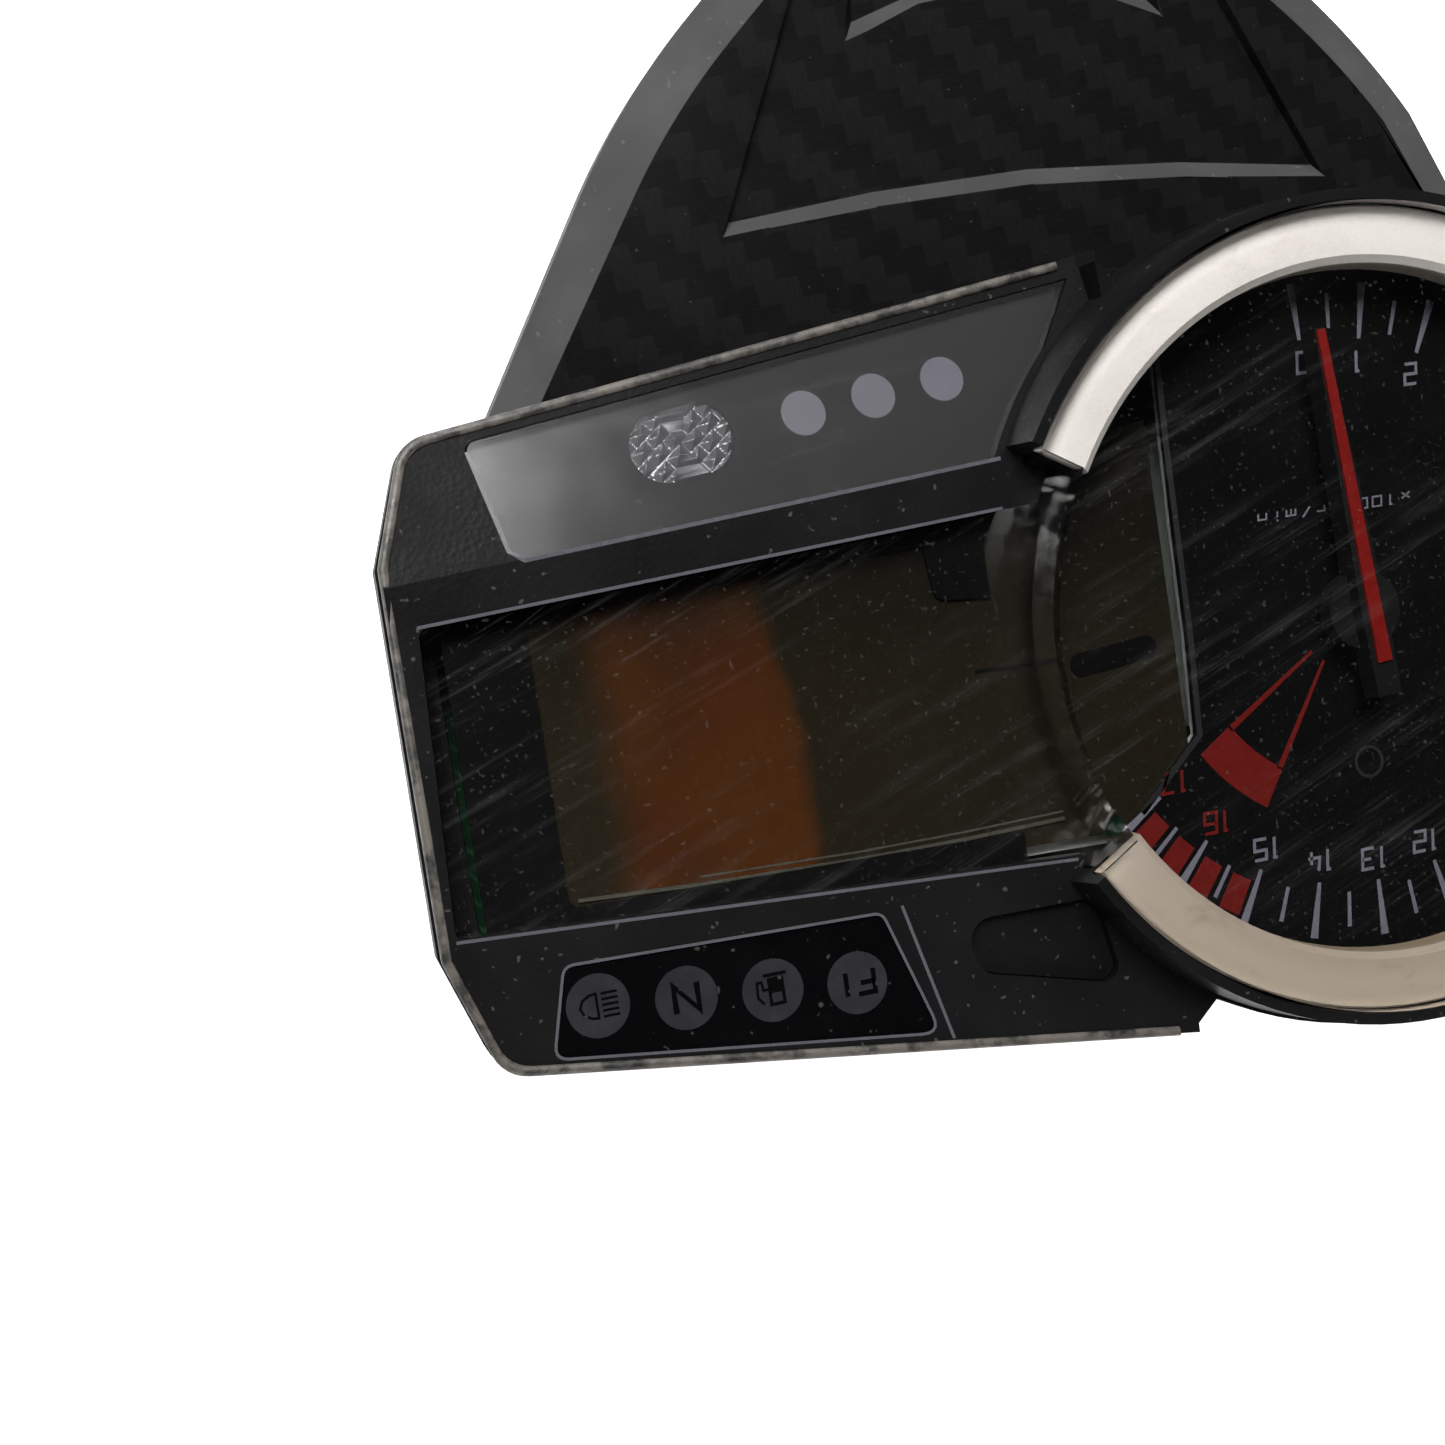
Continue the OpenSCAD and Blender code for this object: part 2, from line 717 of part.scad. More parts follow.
module pointer_stripe() {
    color("#e0301c") rotate([0, 0, pointer_rest])
        slab([[-7, -1.05], [pointer_len - 0.2, -0.6], [pointer_len - 0.2, 0.6], [-7, 1.05]],
             pointer_high - 0.4, pointer_high);
}

module pointer_hub() {
    color("#18181a") difference() {
        rod([0, 0], 4.2, pointer_low - 2.4, pointer_low - 1.2);
        rod([0, 0], spindle_r, 0, 60);
    }
}

// ---- Buttons ----

module button(s) {
    p = [button_x, s * button_y];
    color("#1a1a1c") {
        rod(p, button_r, 28.5, 34);
        rod(p, button_r + 1, 28, 28.5 + eps);
    }
}

module plunger(s) {
    color("#b9b9bd") rod([button_x, s * button_y], 1.2, plunger_low, 28);
}

module mode_button() { button(1); }
module adjust_button() { button(-1); }
module mode_plunger() { plunger(1); }
module adjust_plunger() { plunger(-1); }

module switch_bodies() {
    color("#2c2c30") for (s = [-1, 1]) difference() {
        chip([button_x + 0.4, s * button_y], [5.6, 6, 3.4]);
        rod([button_x, s * button_y], 1.3, plunger_low - button_travel - 0.2, 60);
    }
}

// ---- Trim panel ----

// Half of the trim panel's outline, measured from its middle
function panel_half(grow) =
    [[77.6 + grow, -37], [52.2 + grow, -77.6 - grow * 0.5], [24 + grow * 0.5, -panel_low - grow]];

function panel_outline(grow) =
    let (h = panel_half(grow), right = [h[2], h[1], h[0]],
         left = [for (i = [0:2]) [-h[i][0], h[i][1]]])
    [for (p = rounded(concat(left, right), [0, 100, 38, 38, 100, 0], 10)) [panel_x + p[0], p[1]]];

recess = [[panel_x - 42.8, -58.6], [panel_x - 22, -60.5], [panel_x, -61.4], [panel_x + 22, -60.5],
          [panel_x + 42.8, -58.6], [panel_x + 26.5, -94], [panel_x - 26.5, -94]];

module lower_panel() {
    color("#2b2c2e") difference() {
        union() {
            difference() {
                slab(panel_outline(0), panel_z - 8, panel_z);
                slab(panel_outline(-2), panel_z - 9, panel_z - panel_t);
            }
            slab(inset(recess, -1.2), panel_z - panel_t - recess_depth, panel_z - panel_t + eps);
            for (x = panel_screw_x) rod(panel_screw_place(x), 3.2, 17.8, panel_z - panel_t + eps);
        }
        slab(case_outline(rim_step - panel_gap), 0, 60);
        slab(recess, panel_z - recess_depth, 60);
        for (x = panel_screw_x) rod(panel_screw_place(x), 1.6, 0, 22.8);
    }
}

module panel_screws() {
    color("silver") for (x = panel_screw_x) screw(panel_screw_place(x), 13, 22.4, 1.55, 3);
}

rear_case();
case_gasket();
case_screws();
mount_inserts();
vent_plug();
front_bezel();
front_lens();
ring_trim();
strip_lens();
strip_mask();
strip_diffusers();
shift_reflector();
icon_panel();
icon_lenses();
pocket_insert();
dial_face();
dial_light_guide();
dial_posts();
lcd_glass();
lcd_mask();
lcd_holder();
lcd_backlight();
zebra_strip();
main_board();
board_screws();
backlight_leds();
indicator_leds();
processor();
capacitors();
regulator();
connector_header();
connector_pins();
motor_case();
motor_cover();
stator_core();
stator_coils();
spindle_bushes();
pointer();
pointer_stripe();
pointer_hub();
spindle();
output_wheel();
idler_wheel();
idler_pin();
rotor_magnet();
rotor_pinion();
rotor_pin();
mode_button();
mode_plunger();
adjust_button();
adjust_plunger();
switch_bodies();
lower_panel();
panel_screws();
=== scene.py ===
"""A motorcycle's instrument cluster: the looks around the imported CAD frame."""

import json
import math

import bmesh
import bpy
from mathutils import Matrix, Vector


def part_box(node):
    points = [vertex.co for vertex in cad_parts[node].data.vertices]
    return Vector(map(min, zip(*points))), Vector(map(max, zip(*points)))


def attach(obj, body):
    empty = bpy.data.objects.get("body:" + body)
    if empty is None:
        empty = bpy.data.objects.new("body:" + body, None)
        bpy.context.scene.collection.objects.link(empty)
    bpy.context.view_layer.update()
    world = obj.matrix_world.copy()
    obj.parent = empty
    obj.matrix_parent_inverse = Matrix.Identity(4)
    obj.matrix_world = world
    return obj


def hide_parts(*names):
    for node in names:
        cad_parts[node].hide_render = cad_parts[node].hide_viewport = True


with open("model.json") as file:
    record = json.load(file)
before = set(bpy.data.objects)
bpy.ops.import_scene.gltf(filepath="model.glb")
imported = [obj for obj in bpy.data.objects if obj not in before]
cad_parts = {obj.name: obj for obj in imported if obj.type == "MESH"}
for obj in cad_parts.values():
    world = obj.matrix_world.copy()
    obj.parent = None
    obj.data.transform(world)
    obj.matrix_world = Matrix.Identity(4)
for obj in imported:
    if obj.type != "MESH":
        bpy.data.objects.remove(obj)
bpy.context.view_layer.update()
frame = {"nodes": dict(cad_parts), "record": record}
NODES = frame["nodes"]
BODY = "cluster"
MM = 0.001

# Heights taken from the frame, in millimetres
DIAL_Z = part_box("dial_face")[1].z / MM
LCD_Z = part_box("lcd_glass")[1].z / MM
ICON_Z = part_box("icon_lenses")[1].z / MM
WING_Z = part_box("icon_panel")[1].z / MM + 0.2
PANEL_LOW, PANEL_HIGH = (corner.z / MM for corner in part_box("lower_panel"))


# ---- Node helpers ----

class Shader:
    """A new material and short ways to add nodes to it. Textures use the model's own frame, in metres."""

    def __init__(self, name, colour, rough=0.5, metal=0.0, **sockets):
        self.mat = bpy.data.materials.new(name)
        self.mat.use_nodes = True
        self.tree = self.mat.node_tree
        self.bsdf = self.tree.nodes["Principled BSDF"]
        self.out = self.tree.nodes["Material Output"]
        self.mat.diffuse_color = (*colour, 1)
        self.set(self.bsdf, "Base Color", (*colour, 1))
        self.set(self.bsdf, "Roughness", rough)
        self.set(self.bsdf, "Metallic", metal)
        for socket, value in sockets.items():
            self.set(self.bsdf, socket.replace("_", " "), value)
        self.frame = self.node("ShaderNodeTexCoord").outputs["Object"]

    def node(self, kind, **settings):
        made = self.tree.nodes.new(kind)
        for key, value in settings.items():
            setattr(made, key, value)
        return made

    def set(self, node, socket, value):
        if isinstance(value, bpy.types.NodeSocket):
            self.tree.links.new(value, node.inputs[socket])
        else:
            node.inputs[socket].default_value = value

    def drive(self, socket, value):
        self.set(self.bsdf, socket, value)

    def place(self, scale=(1, 1, 1), turn=0.0):
        """The frame turned so that X runs along an angle, then stretched."""
        made = self.node("ShaderNodeMapping", vector_type="TEXTURE")
        self.set(made, "Vector", self.frame)
        self.set(made, "Scale", tuple(1 / (n or 1e-3) for n in scale))
        self.set(made, "Rotation", (0, 0, math.radians(turn)))
        return made.outputs[0]

    def noise(self, scale, detail=3.0, rough=0.55, vector=None, distortion=0.0):
        made = self.node("ShaderNodeTexNoise")
        self.set(made, "Vector", vector or self.frame)
        self.set(made, "Scale", scale)
        self.set(made, "Detail", detail)
        self.set(made, "Roughness", rough)
        self.set(made, "Distortion", distortion)
        return made.outputs["Fac"]

    def cells(self, scale, feature="F1", vector=None):
        made = self.node("ShaderNodeTexVoronoi", feature=feature)
        self.set(made, "Vector", vector or self.frame)
        self.set(made, "Scale", scale)
        return made.outputs["Distance"]

    def ramp(self, value, low, high, out_low=0.0, out_high=1.0):
        made = self.node("ShaderNodeMapRange", interpolation_type="SMOOTHSTEP")
        for socket, number in zip(("Value", "From Min", "From Max", "To Min", "To Max"),
                                  (value, low, high, out_low, out_high)):
            self.set(made, socket, number)
        return made.outputs["Result"]

    def math(self, operation, a, b=0.0):
        made = self.node("ShaderNodeMath", operation=operation)
        self.set(made, 0, a)
        self.set(made, 1, b)
        return made.outputs[0]

    def split(self, vector):
        made = self.node("ShaderNodeSeparateXYZ")
        self.set(made, 0, vector)
        return made.outputs

    def mix(self, factor, a, b):
        made = self.node("ShaderNodeMix", data_type="RGBA")
        self.set(made, "Factor", factor)
        for socket, value in ((6, a), (7, b)):
            self.set(made, socket, value if isinstance(value, bpy.types.NodeSocket) else (*value, 1))
        return made.outputs[2]

    def bump(self, height, depth_mm, strength=1.0, normal=None):
        made = self.node("ShaderNodeBump")
        self.set(made, "Height", height)
        self.set(made, "Distance", depth_mm * MM)
        self.set(made, "Strength", strength)
        if normal:
            self.set(made, "Normal", normal)
        self.drive("Normal", made.outputs[0])
        return made.outputs[0]


def dusty(shader, colour, dust=(0.30, 0.29, 0.26), amount=0.12, scale=900):
    """Base colour with faint blotches and pale specks of dust."""
    blotch = shader.ramp(shader.noise(60, 4), 0.35, 0.75)
    tone = shader.mix(blotch, colour, tuple(min(1, c * 1.35) for c in colour))
    speck = shader.math("MULTIPLY", shader.ramp(shader.noise(scale, 1), 0.70, 0.78), amount)
    shader.drive("Base Color", shader.mix(speck, tone, dust))


def spark_plastic(name, colour, rough=0.5, grain=1500, depth=0.05):
    """Moulded black plastic with a fine eroded texture."""
    s = Shader(name, colour, rough, Specular_IOR_Level=0.07)
    dusty(s, colour)
    s.drive("Roughness", s.ramp(s.noise(200, 4), 0.2, 0.8, rough - 0.08, rough + 0.10))
    s.bump(s.noise(grain, 3), depth, 0.7)
    return s.mat


def leather_plastic(name, colour, rough=0.42):
    """Moulded plastic with leather cells, hazy scratches and dust."""
    s = Shader(name, colour, rough, Specular_IOR_Level=0.07)
    dusty(s, colour, amount=0.15)
    cell = s.cells(1500)
    fine = s.noise(5000, 2)
    s.bump(s.math("ADD", cell, s.math("MULTIPLY", fine, 0.3)), 0.04, 0.8)
    s.drive("Roughness", s.ramp(s.noise(90, 5), 0.3, 0.75, rough - 0.06, rough + 0.16))
    return s.mat


def worn_edge(name, colour):
    """The same plastic, paler in blotches, for its edges."""
    s = Shader(name, colour, 0.45)
    # paler blotches along the edges
    pale_patch = s.ramp(s.noise(260, 5, 0.7), 0.38, 0.62)
    s.drive("Base Color", s.mix(pale_patch, colour, (0.105, 0.093, 0.080)))
    s.drive("Roughness", s.ramp(s.noise(700, 3), 0.3, 0.7, 0.32, 0.6))
    s.bump(s.noise(2500, 3), 0.04, 0.6)
    return s.mat


def metal(name, colour, rough=0.3, turn=0.0):
    """Machined or plated metal with fine lines."""
    s = Shader(name, colour, rough, 1.0)
    lines = s.noise(1.0, 3, vector=s.place((300, 6000, 6000), turn))
    s.drive("Roughness", s.ramp(lines, 0.2, 0.8, rough - 0.06, rough + 0.12))
    s.drive("Base Color", s.mix(s.ramp(s.noise(400, 3), 0.4, 0.8), colour, tuple(c * 0.72 for c in colour)))
    s.bump(lines, 0.01, 0.4)
    return s.mat


def plain_plastic(name, colour, rough=0.4, glow=0.0):
    """Clean moulded plastic with a soft sheen and a little variation."""
    s = Shader(name, colour, rough, Subsurface_Weight=glow)
    s.drive("Base Color", s.mix(s.ramp(s.noise(120, 3), 0.3, 0.8), colour, tuple(c * 0.86 for c in colour)))
    s.drive("Roughness", s.ramp(s.noise(350, 3), 0.3, 0.7, rough - 0.05, rough + 0.08))
    s.bump(s.noise(1800, 2), 0.015, 0.5)
    return s.mat


def champagne_ring():
    """Satin silver paint, cream on the arc by the trim panel, brown and stained on the arc across from it; that brown
    is partly painted shade, and painted shade also darkens the ring's walls lower down.
    """
    s = Shader("ring_silver", (0.80, 0.75, 0.67), 0.5, 0.12)
    fleck = s.mix(s.ramp(s.noise(3500, 2), 0.35, 0.7), (0.92, 0.865, 0.82), (0.98, 0.94, 0.90))
    _, y, z = s.split(s.frame)
    # upper is the arc across from the trim panel, where the stains are heavier
    upper = s.ramp(y, -0.02, 0.04)
    dirt = s.ramp(s.noise(75, 8, 0.72, distortion=0.6), 0.50, 0.66)
    thin = s.ramp(s.noise(28, 4), 0.35, 0.65, 0.15, 1.0)
    stain = s.math("MULTIPLY", s.math("MULTIPLY", dirt, thin), s.ramp(upper, 0, 1, 0.12, 0.72))
    # the brown on that arc is partly painted shade, partly dirt
    tone = s.mix(s.math("MULTIPLY", upper, 0.9), fleck, (0.46, 0.37, 0.28))
    tone = s.mix(stain, tone, (0.20, 0.155, 0.10))
    # painted shade: the ring's walls turn darker and browner lower down in the drum
    wall_shade = s.ramp(z, 0.0358, 0.0372, 1.0, 0.0)
    s.drive("Base Color", s.mix(s.math("MULTIPLY", wall_shade, 0.6), tone, (0.36, 0.27, 0.15)))
    s.drive("Roughness", s.ramp(s.noise(420, 5), 0.3, 0.75, 0.44, 0.60))
    s.bump(s.noise(2600, 3), 0.012, 0.5)
    return s.mat


def window(name, tint, haze, streaks, rough=0.03, ior=1.33):
    """Clear plastic: it lets light straight through, mirrors by Fresnel, and carries hazy scratches."""
    s = Shader(name, (0.75, 0.76, 0.74), 0.6)
    clear = s.node("ShaderNodeBsdfTransparent")
    s.set(clear, "Color", (*tint, 1))
    shine = s.node("ShaderNodeBsdfGlossy")
    s.set(shine, "Color", (1, 1, 1, 1))
    s.set(shine, "Roughness", s.ramp(s.noise(120, 3), 0.35, 0.75, rough, rough + 0.07))
    fresnel = s.node("ShaderNodeFresnel")
    s.set(fresnel, "IOR", ior)
    glazed = s.node("ShaderNodeMixShader")
    s.set(glazed, 0, fresnel.outputs[0])
    s.set(glazed, 1, clear.outputs[0])
    s.set(glazed, 2, shine.outputs[0])
    # long scratches in one rubbing direction, gathered in bands, then a few fine single ones
    rubbed = s.noise(1.0, 6, 0.75, vector=s.place((26, 620, 1), streaks), distortion=0.15)
    bands = s.ramp(s.noise(1.0, 3, vector=s.place((12, 55, 1), streaks)), 0.38, 0.66)
    lines = s.math("MULTIPLY", s.ramp(rubbed, 0.50, 0.78), bands)
    single = s.ramp(s.noise(1.0, 2, 0.4, vector=s.place((40, 2600, 1), streaks + 9)), 0.74, 0.80)
    speck = s.ramp(s.noise(1500, 0), 0.76, 0.82)
    marks = s.math("ADD", s.math("MULTIPLY", lines, 0.75), s.math("MULTIPLY", s.math("ADD", single, speck), 0.5))
    film = s.ramp(s.noise(35, 3), 0.3, 0.8, 0.008, 0.03)
    amount = s.math("MULTIPLY", s.math("ADD", marks, film), haze)
    top = s.node("ShaderNodeMixShader")
    s.set(top, 0, amount)
    s.set(top, 1, glazed.outputs[0])
    s.set(top, 2, s.bsdf.outputs[0])
    s.tree.links.new(top.outputs[0], s.out.inputs["Surface"])
    return s.mat


def display_glass():
    """Unlit liquid crystal: dull olive with an amber stain that has crept in from one end."""
    olive, deep = (0.017, 0.0140, 0.0085), (0.022, 0.0175, 0.0095)
    amber, rust = (0.075, 0.024, 0.005), (0.072, 0.020, 0.005)
    s = Shader("lcd_olive", olive, 0.16, Coat_Weight=0.4, Coat_Roughness=0.06)
    x, y, _ = s.split(s.frame)
    tone = s.mix(s.ramp(x, 0.045, 0.110), olive, deep)
    tone = s.mix(s.ramp(y, -0.020, 0.004, 0.75, 0.0), tone, (0.008, 0.0075, 0.0055))
    warp = s.math("MULTIPLY", s.math("SUBTRACT", s.noise(45, 3), 0.5), 0.010)
    edge = s.math("ADD", x, warp)
    rows = s.math("MULTIPLY", s.math("SUBTRACT", s.noise(70, 2), 0.5), 0.004)
    left = s.ramp(s.math("ADD", edge, rows), 0.0775, 0.0805)
    right = s.ramp(edge, 0.0985, 0.1060, 1.0, 0.0)
    body = s.math("MULTIPLY", left, right)
    patchy = s.ramp(s.noise(42, 4), 0.30, 0.66, 0.50, 1.0)
    top = s.ramp(y, -0.018, -0.006, 0.35, 1.0)
    stain = s.math("MULTIPLY", s.math("MULTIPLY", body, patchy), top)
    glow = s.ramp(s.noise(60, 3), 0.35, 0.65)
    s.drive("Base Color", s.mix(stain, tone, s.mix(glow, rust, amber)))
    s.drive("Roughness", s.ramp(s.noise(500, 3), 0.3, 0.7, 0.12, 0.24))
    s.bump(s.noise(900, 2), 0.004, 0.3)
    return s.mat


def carbon(name):
    """A matt 2/2 twill print: floats two cells long that step like stairs."""
    s = Shader(name, (0.022, 0.022, 0.024), 0.4, Specular_IOR_Level=0.05)
    cell, turn = 2.9 * MM, 7
    x, y, _ = s.split(s.place((1 / cell, 1 / cell, 1), turn))
    column, row = s.math("FLOOR", x), s.math("FLOOR", y)
    warp = s.math("LESS_THAN", s.math("FLOORED_MODULO", s.math("ADD", column, row), 4.0), 1.5)
    weft = s.math("SUBTRACT", 1.0, warp)
    threads_x = s.noise(1.0, 2, vector=s.place((500, 6000, 1), turn))
    threads_y = s.noise(1.0, 2, vector=s.place((6000, 500, 1), turn))
    threads = s.math("ADD", s.math("MULTIPLY", warp, threads_y), s.math("MULTIPLY", weft, threads_x))
    along_y = s.math("FLOORED_MODULO", s.math("ADD", column, y), 4.0)
    along_x = s.math("FLOORED_MODULO", s.math("ADD", x, row), 4.0)
    lift_y = s.math("MULTIPLY", along_y, s.math("SUBTRACT", 2.0, along_y))
    from_x = s.math("SUBTRACT", along_x, 2.0)
    lift_x = s.math("MULTIPLY", from_x, s.math("SUBTRACT", 2.0, from_x))
    crown = s.math("ADD", s.math("MULTIPLY", warp, lift_y), s.math("MULTIPLY", weft, lift_x))
    light = s.mix(s.ramp(threads, 0.3, 0.7), (0.0056, 0.0056, 0.0060), (0.0080, 0.0080, 0.0087))
    dark = s.mix(s.ramp(threads, 0.3, 0.7), (0.0036, 0.0036, 0.0039), (0.0054, 0.0054, 0.0058))
    dust = s.math("MULTIPLY", s.ramp(s.noise(1300, 1), 0.74, 0.82), 0.12)
    s.drive("Base Color", s.mix(dust, s.mix(warp, dark, light), (0.20, 0.19, 0.18)))
    s.drive("Roughness", s.ramp(s.noise(130, 4), 0.3, 0.8, 0.36, 0.50))
    s.bump(s.math("ADD", crown, s.math("MULTIPLY", threads, 0.5)), 0.05, 0.6)
    return s.mat


def printed(name, colour, rough=0.45):
    """Screen-printed ink, a little uneven and rubbed."""
    s = Shader(name, colour, rough)
    worn = s.ramp(s.noise(900, 4), 0.45, 0.75, 0.0, 0.35)
    s.drive("Base Color", s.mix(worn, colour, tuple(c * 0.45 for c in colour)))
    s.bump(s.noise(4000, 2), 0.01, 0.4)
    return s.mat


def circuit_board():
    """Solder resist over copper tracks."""
    s = Shader("board_green", (0.012, 0.10, 0.035), 0.28, Coat_Weight=0.5, Coat_Roughness=0.15)
    x, _, _ = s.split(s.place((420, 420, 1), 45))
    track = s.math("LESS_THAN", s.math("FRACT", x), 0.22)
    field = s.ramp(s.noise(55, 1), 0.48, 0.52)
    copper = s.math("MULTIPLY", track, field)
    s.drive("Base Color", s.mix(copper, (0.010, 0.085, 0.030), (0.030, 0.19, 0.070)))
    s.bump(copper, 0.03, 0.6)
    return s.mat


BEZEL_BLACK = (0.0056, 0.0056, 0.0060)
MATERIALS = {
    "case_black": spark_plastic("case_black", (0.010, 0.010, 0.0108)),
    "bezel_black": leather_plastic("bezel_black", BEZEL_BLACK),
    "seal_rubber": spark_plastic("seal_rubber", (0.010, 0.010, 0.010), 0.75, 2500, 0.03),
    "zinc_steel": metal("zinc_steel", (0.62, 0.62, 0.60), 0.34),
    "brass": metal("brass", (0.72, 0.50, 0.21), 0.28),
    "clear_lens": window("clear_lens", (0.985, 0.985, 0.98), 0.05, 22),
    "smoke_lens": window("smoke_lens", (0.84, 0.84, 0.84), 0.03, 8, 0.17, 1.46),
    "ring_silver": champagne_ring(),
    "print_black": spark_plastic("print_black", (0.0022, 0.0022, 0.0024), 0.5, 3000, 0.01),
    "diffuser_white": plain_plastic("diffuser_white", (0.22, 0.215, 0.265), 0.35),
    "chrome_facet": metal("chrome_facet", (0.40, 0.40, 0.43), 0.34),
    "icon_gloss": spark_plastic("icon_gloss", (0.0018, 0.0018, 0.0021), 0.22, 3500, 0.004),
    "icon_lilac": plain_plastic("icon_lilac", (0.0185, 0.0180, 0.0225), 0.32),
    "pocket_grain": spark_plastic("pocket_grain", (0.0036, 0.0036, 0.0040), 0.6, 900, 0.16),
    "dial_black": spark_plastic("dial_black", (0.0026, 0.0026, 0.0030), 0.5, 3500, 0.01),
    "light_guide": plain_plastic("light_guide", (0.80, 0.83, 0.86), 0.1),
    "lcd_olive": display_glass(),
    "white_plastic": plain_plastic("white_plastic", (0.72, 0.72, 0.69)),
    "board_green": circuit_board(),
    "led_yellow": plain_plastic("led_yellow", (0.80, 0.72, 0.30), 0.3),
    "chip_black": spark_plastic("chip_black", (0.014, 0.014, 0.015), 0.55, 4000, 0.02),
    "can_aluminium": metal("can_aluminium", (0.72, 0.73, 0.75), 0.3),
    "elastomer": plain_plastic("elastomer", (0.14, 0.05, 0.06), 0.7),
    "magnet_grey": spark_plastic("magnet_grey", (0.06, 0.06, 0.07), 0.5, 3000, 0.02),
    "steel_core": metal("steel_core", (0.42, 0.43, 0.45), 0.4),
    "copper": metal("copper", (0.66, 0.27, 0.12), 0.32, 90),
    "gear_white": plain_plastic("gear_white", (0.80, 0.80, 0.75), 0.35),
    "pointer_black": spark_plastic("pointer_black", (0.010, 0.010, 0.011), 0.35, 3000, 0.01),
    "pointer_red": printed("pointer_red", (0.215, 0.005, 0.003), 0.38),
    "button_black": spark_plastic("button_black", (0.009, 0.009, 0.0098), 0.62, 2200, 0.05),
    "carbon_panel": carbon("carbon_panel"),
    "print_white": printed("print_white", (0.19, 0.185, 0.235)),
    "print_red": printed("print_red", (0.155, 0.003, 0.001)),
    "print_grey": printed("print_grey", (0.016, 0.0155, 0.018)),
    # light grey: painted reflection on the trim panel's flank, painted highlight on its recess ledges
    "panel_grey": spark_plastic("panel_grey", (0.046, 0.045, 0.0455), 0.55, 1800, 0.02),
    "worn_edge": worn_edge("worn_edge", (0.018, 0.0165, 0.015)),
    # painted highlight on the windows' edges
    "lens_gleam": plain_plastic("lens_gleam", (0.085, 0.082, 0.095), 0.25),
    # painted highlight along the display's upper edge
    "display_rim": plain_plastic("display_rim", (0.075, 0.072, 0.055), 0.3),
}
SLOT_OF = {part["node"]: part["material_slot"] for part in frame["record"]["subparts"]}


# ---- Finishing the CAD nodes ----

def soften(obj, width_mm, edge_slot=None, segments=2, angle=35):
    """Joins a CAD node's flat triangles and rounds its hard edges, for show only."""
    join = obj.modifiers.new("join", "DECIMATE")
    join.decimate_type = "DISSOLVE"
    join.angle_limit = math.radians(0.5)
    bevel = obj.modifiers.new("soften", "BEVEL")
    bevel.width = width_mm * MM
    bevel.segments = segments
    bevel.limit_method = "ANGLE"
    bevel.angle_limit = math.radians(angle)
    bevel.harden_normals = False
    bevel.use_clamp_overlap = True
    if edge_slot:
        obj.data.materials.append(MATERIALS[edge_slot])
        bevel.material = 1


for name, obj in NODES.items():
    obj.data.materials.clear()
    obj.data.materials.append(MATERIALS[SLOT_OF[name]])
    for face in obj.data.polygons:
        face.use_smooth = True
    obj.data.set_sharp_from_angle(angle=math.radians(28))

# the strip lens is blacked out on its edges
NODES["strip_lens"].data.materials.append(MATERIALS["print_black"])
for face in NODES["strip_lens"].data.polygons:
    if abs(face.normal.z) < 0.5:
        face.material_index = 1

soften(NODES["front_bezel"], 0.35, "worn_edge")
soften(NODES["rear_case"], 0.4)
soften(NODES["mode_button"], 0.6, segments=3)
soften(NODES["adjust_button"], 0.6, segments=3)
soften(NODES["pointer_stripe"], 0.08)
soften(NODES["icon_panel"], 0.1)
soften(NODES["connector_header"], 0.15)


# ---- Mesh helpers ----

def piece(name, bm, slots, body=BODY):
    """A finished piece: the mesh goes into the scene, takes its finishes and rides on its body."""
    bmesh.ops.recalc_face_normals(bm, faces=bm.faces)
    mesh = bpy.data.meshes.new(name)
    bm.to_mesh(mesh)
    bm.free()
    mesh.transform(Matrix.Scale(MM, 4))
    obj = bpy.data.objects.new(name, mesh)
    bpy.context.scene.collection.objects.link(obj)
    for slot in slots:
        mesh.materials.append(MATERIALS[slot])
    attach(obj, body)
    return obj


def polar(r, degrees):
    return Vector((r * math.cos(math.radians(degrees)), r * math.sin(math.radians(degrees))))


def prism(bm, outline, low, high):
    """A closed prism on a flat outline."""
    base = [bm.verts.new((p[0], p[1], low)) for p in outline]
    top = [bm.verts.new((p[0], p[1], high)) for p in outline]
    bm.faces.new(base[::-1])
    bm.faces.new(top)
    for i in range(len(outline)):
        j = (i + 1) % len(outline)
        bm.faces.new((base[i], base[j], top[j], top[i]))


def stroke(bm, points, width, low, high, closed=False):
    """A line of even width with mitred corners, as a closed solid."""
    points = [Vector(p[:2]) for p in points]
    count = len(points)
    sides = []
    for i, p in enumerate(points):
        before = points[(i - 1) % count] if closed or i else None
        after = points[(i + 1) % count] if closed or i < count - 1 else None
        d1 = (p - before).normalized() if before is not None else (after - p).normalized()
        d2 = (after - p).normalized() if after is not None else d1
        n1, n2 = Vector((-d1.y, d1.x)), Vector((-d2.y, d2.x))
        mitre = (n1 + n2).normalized()
        reach = width / 2 / max(0.5, mitre.dot(n1))
        sides.append((p + mitre * reach, p - mitre * reach))
    rings = [[bm.verts.new((*q, z)) for q, z in ((a, low), (b, low), (b, high), (a, high))] for a, b in sides]
    for i in range(count if closed else count - 1):
        one, two = rings[i], rings[(i + 1) % count]
        for k in range(4):
            m = (k + 1) % 4
            bm.faces.new((one[k], one[m], two[m], two[k]))
    if not closed:
        bm.faces.new(rings[0])
        bm.faces.new(rings[-1][::-1])


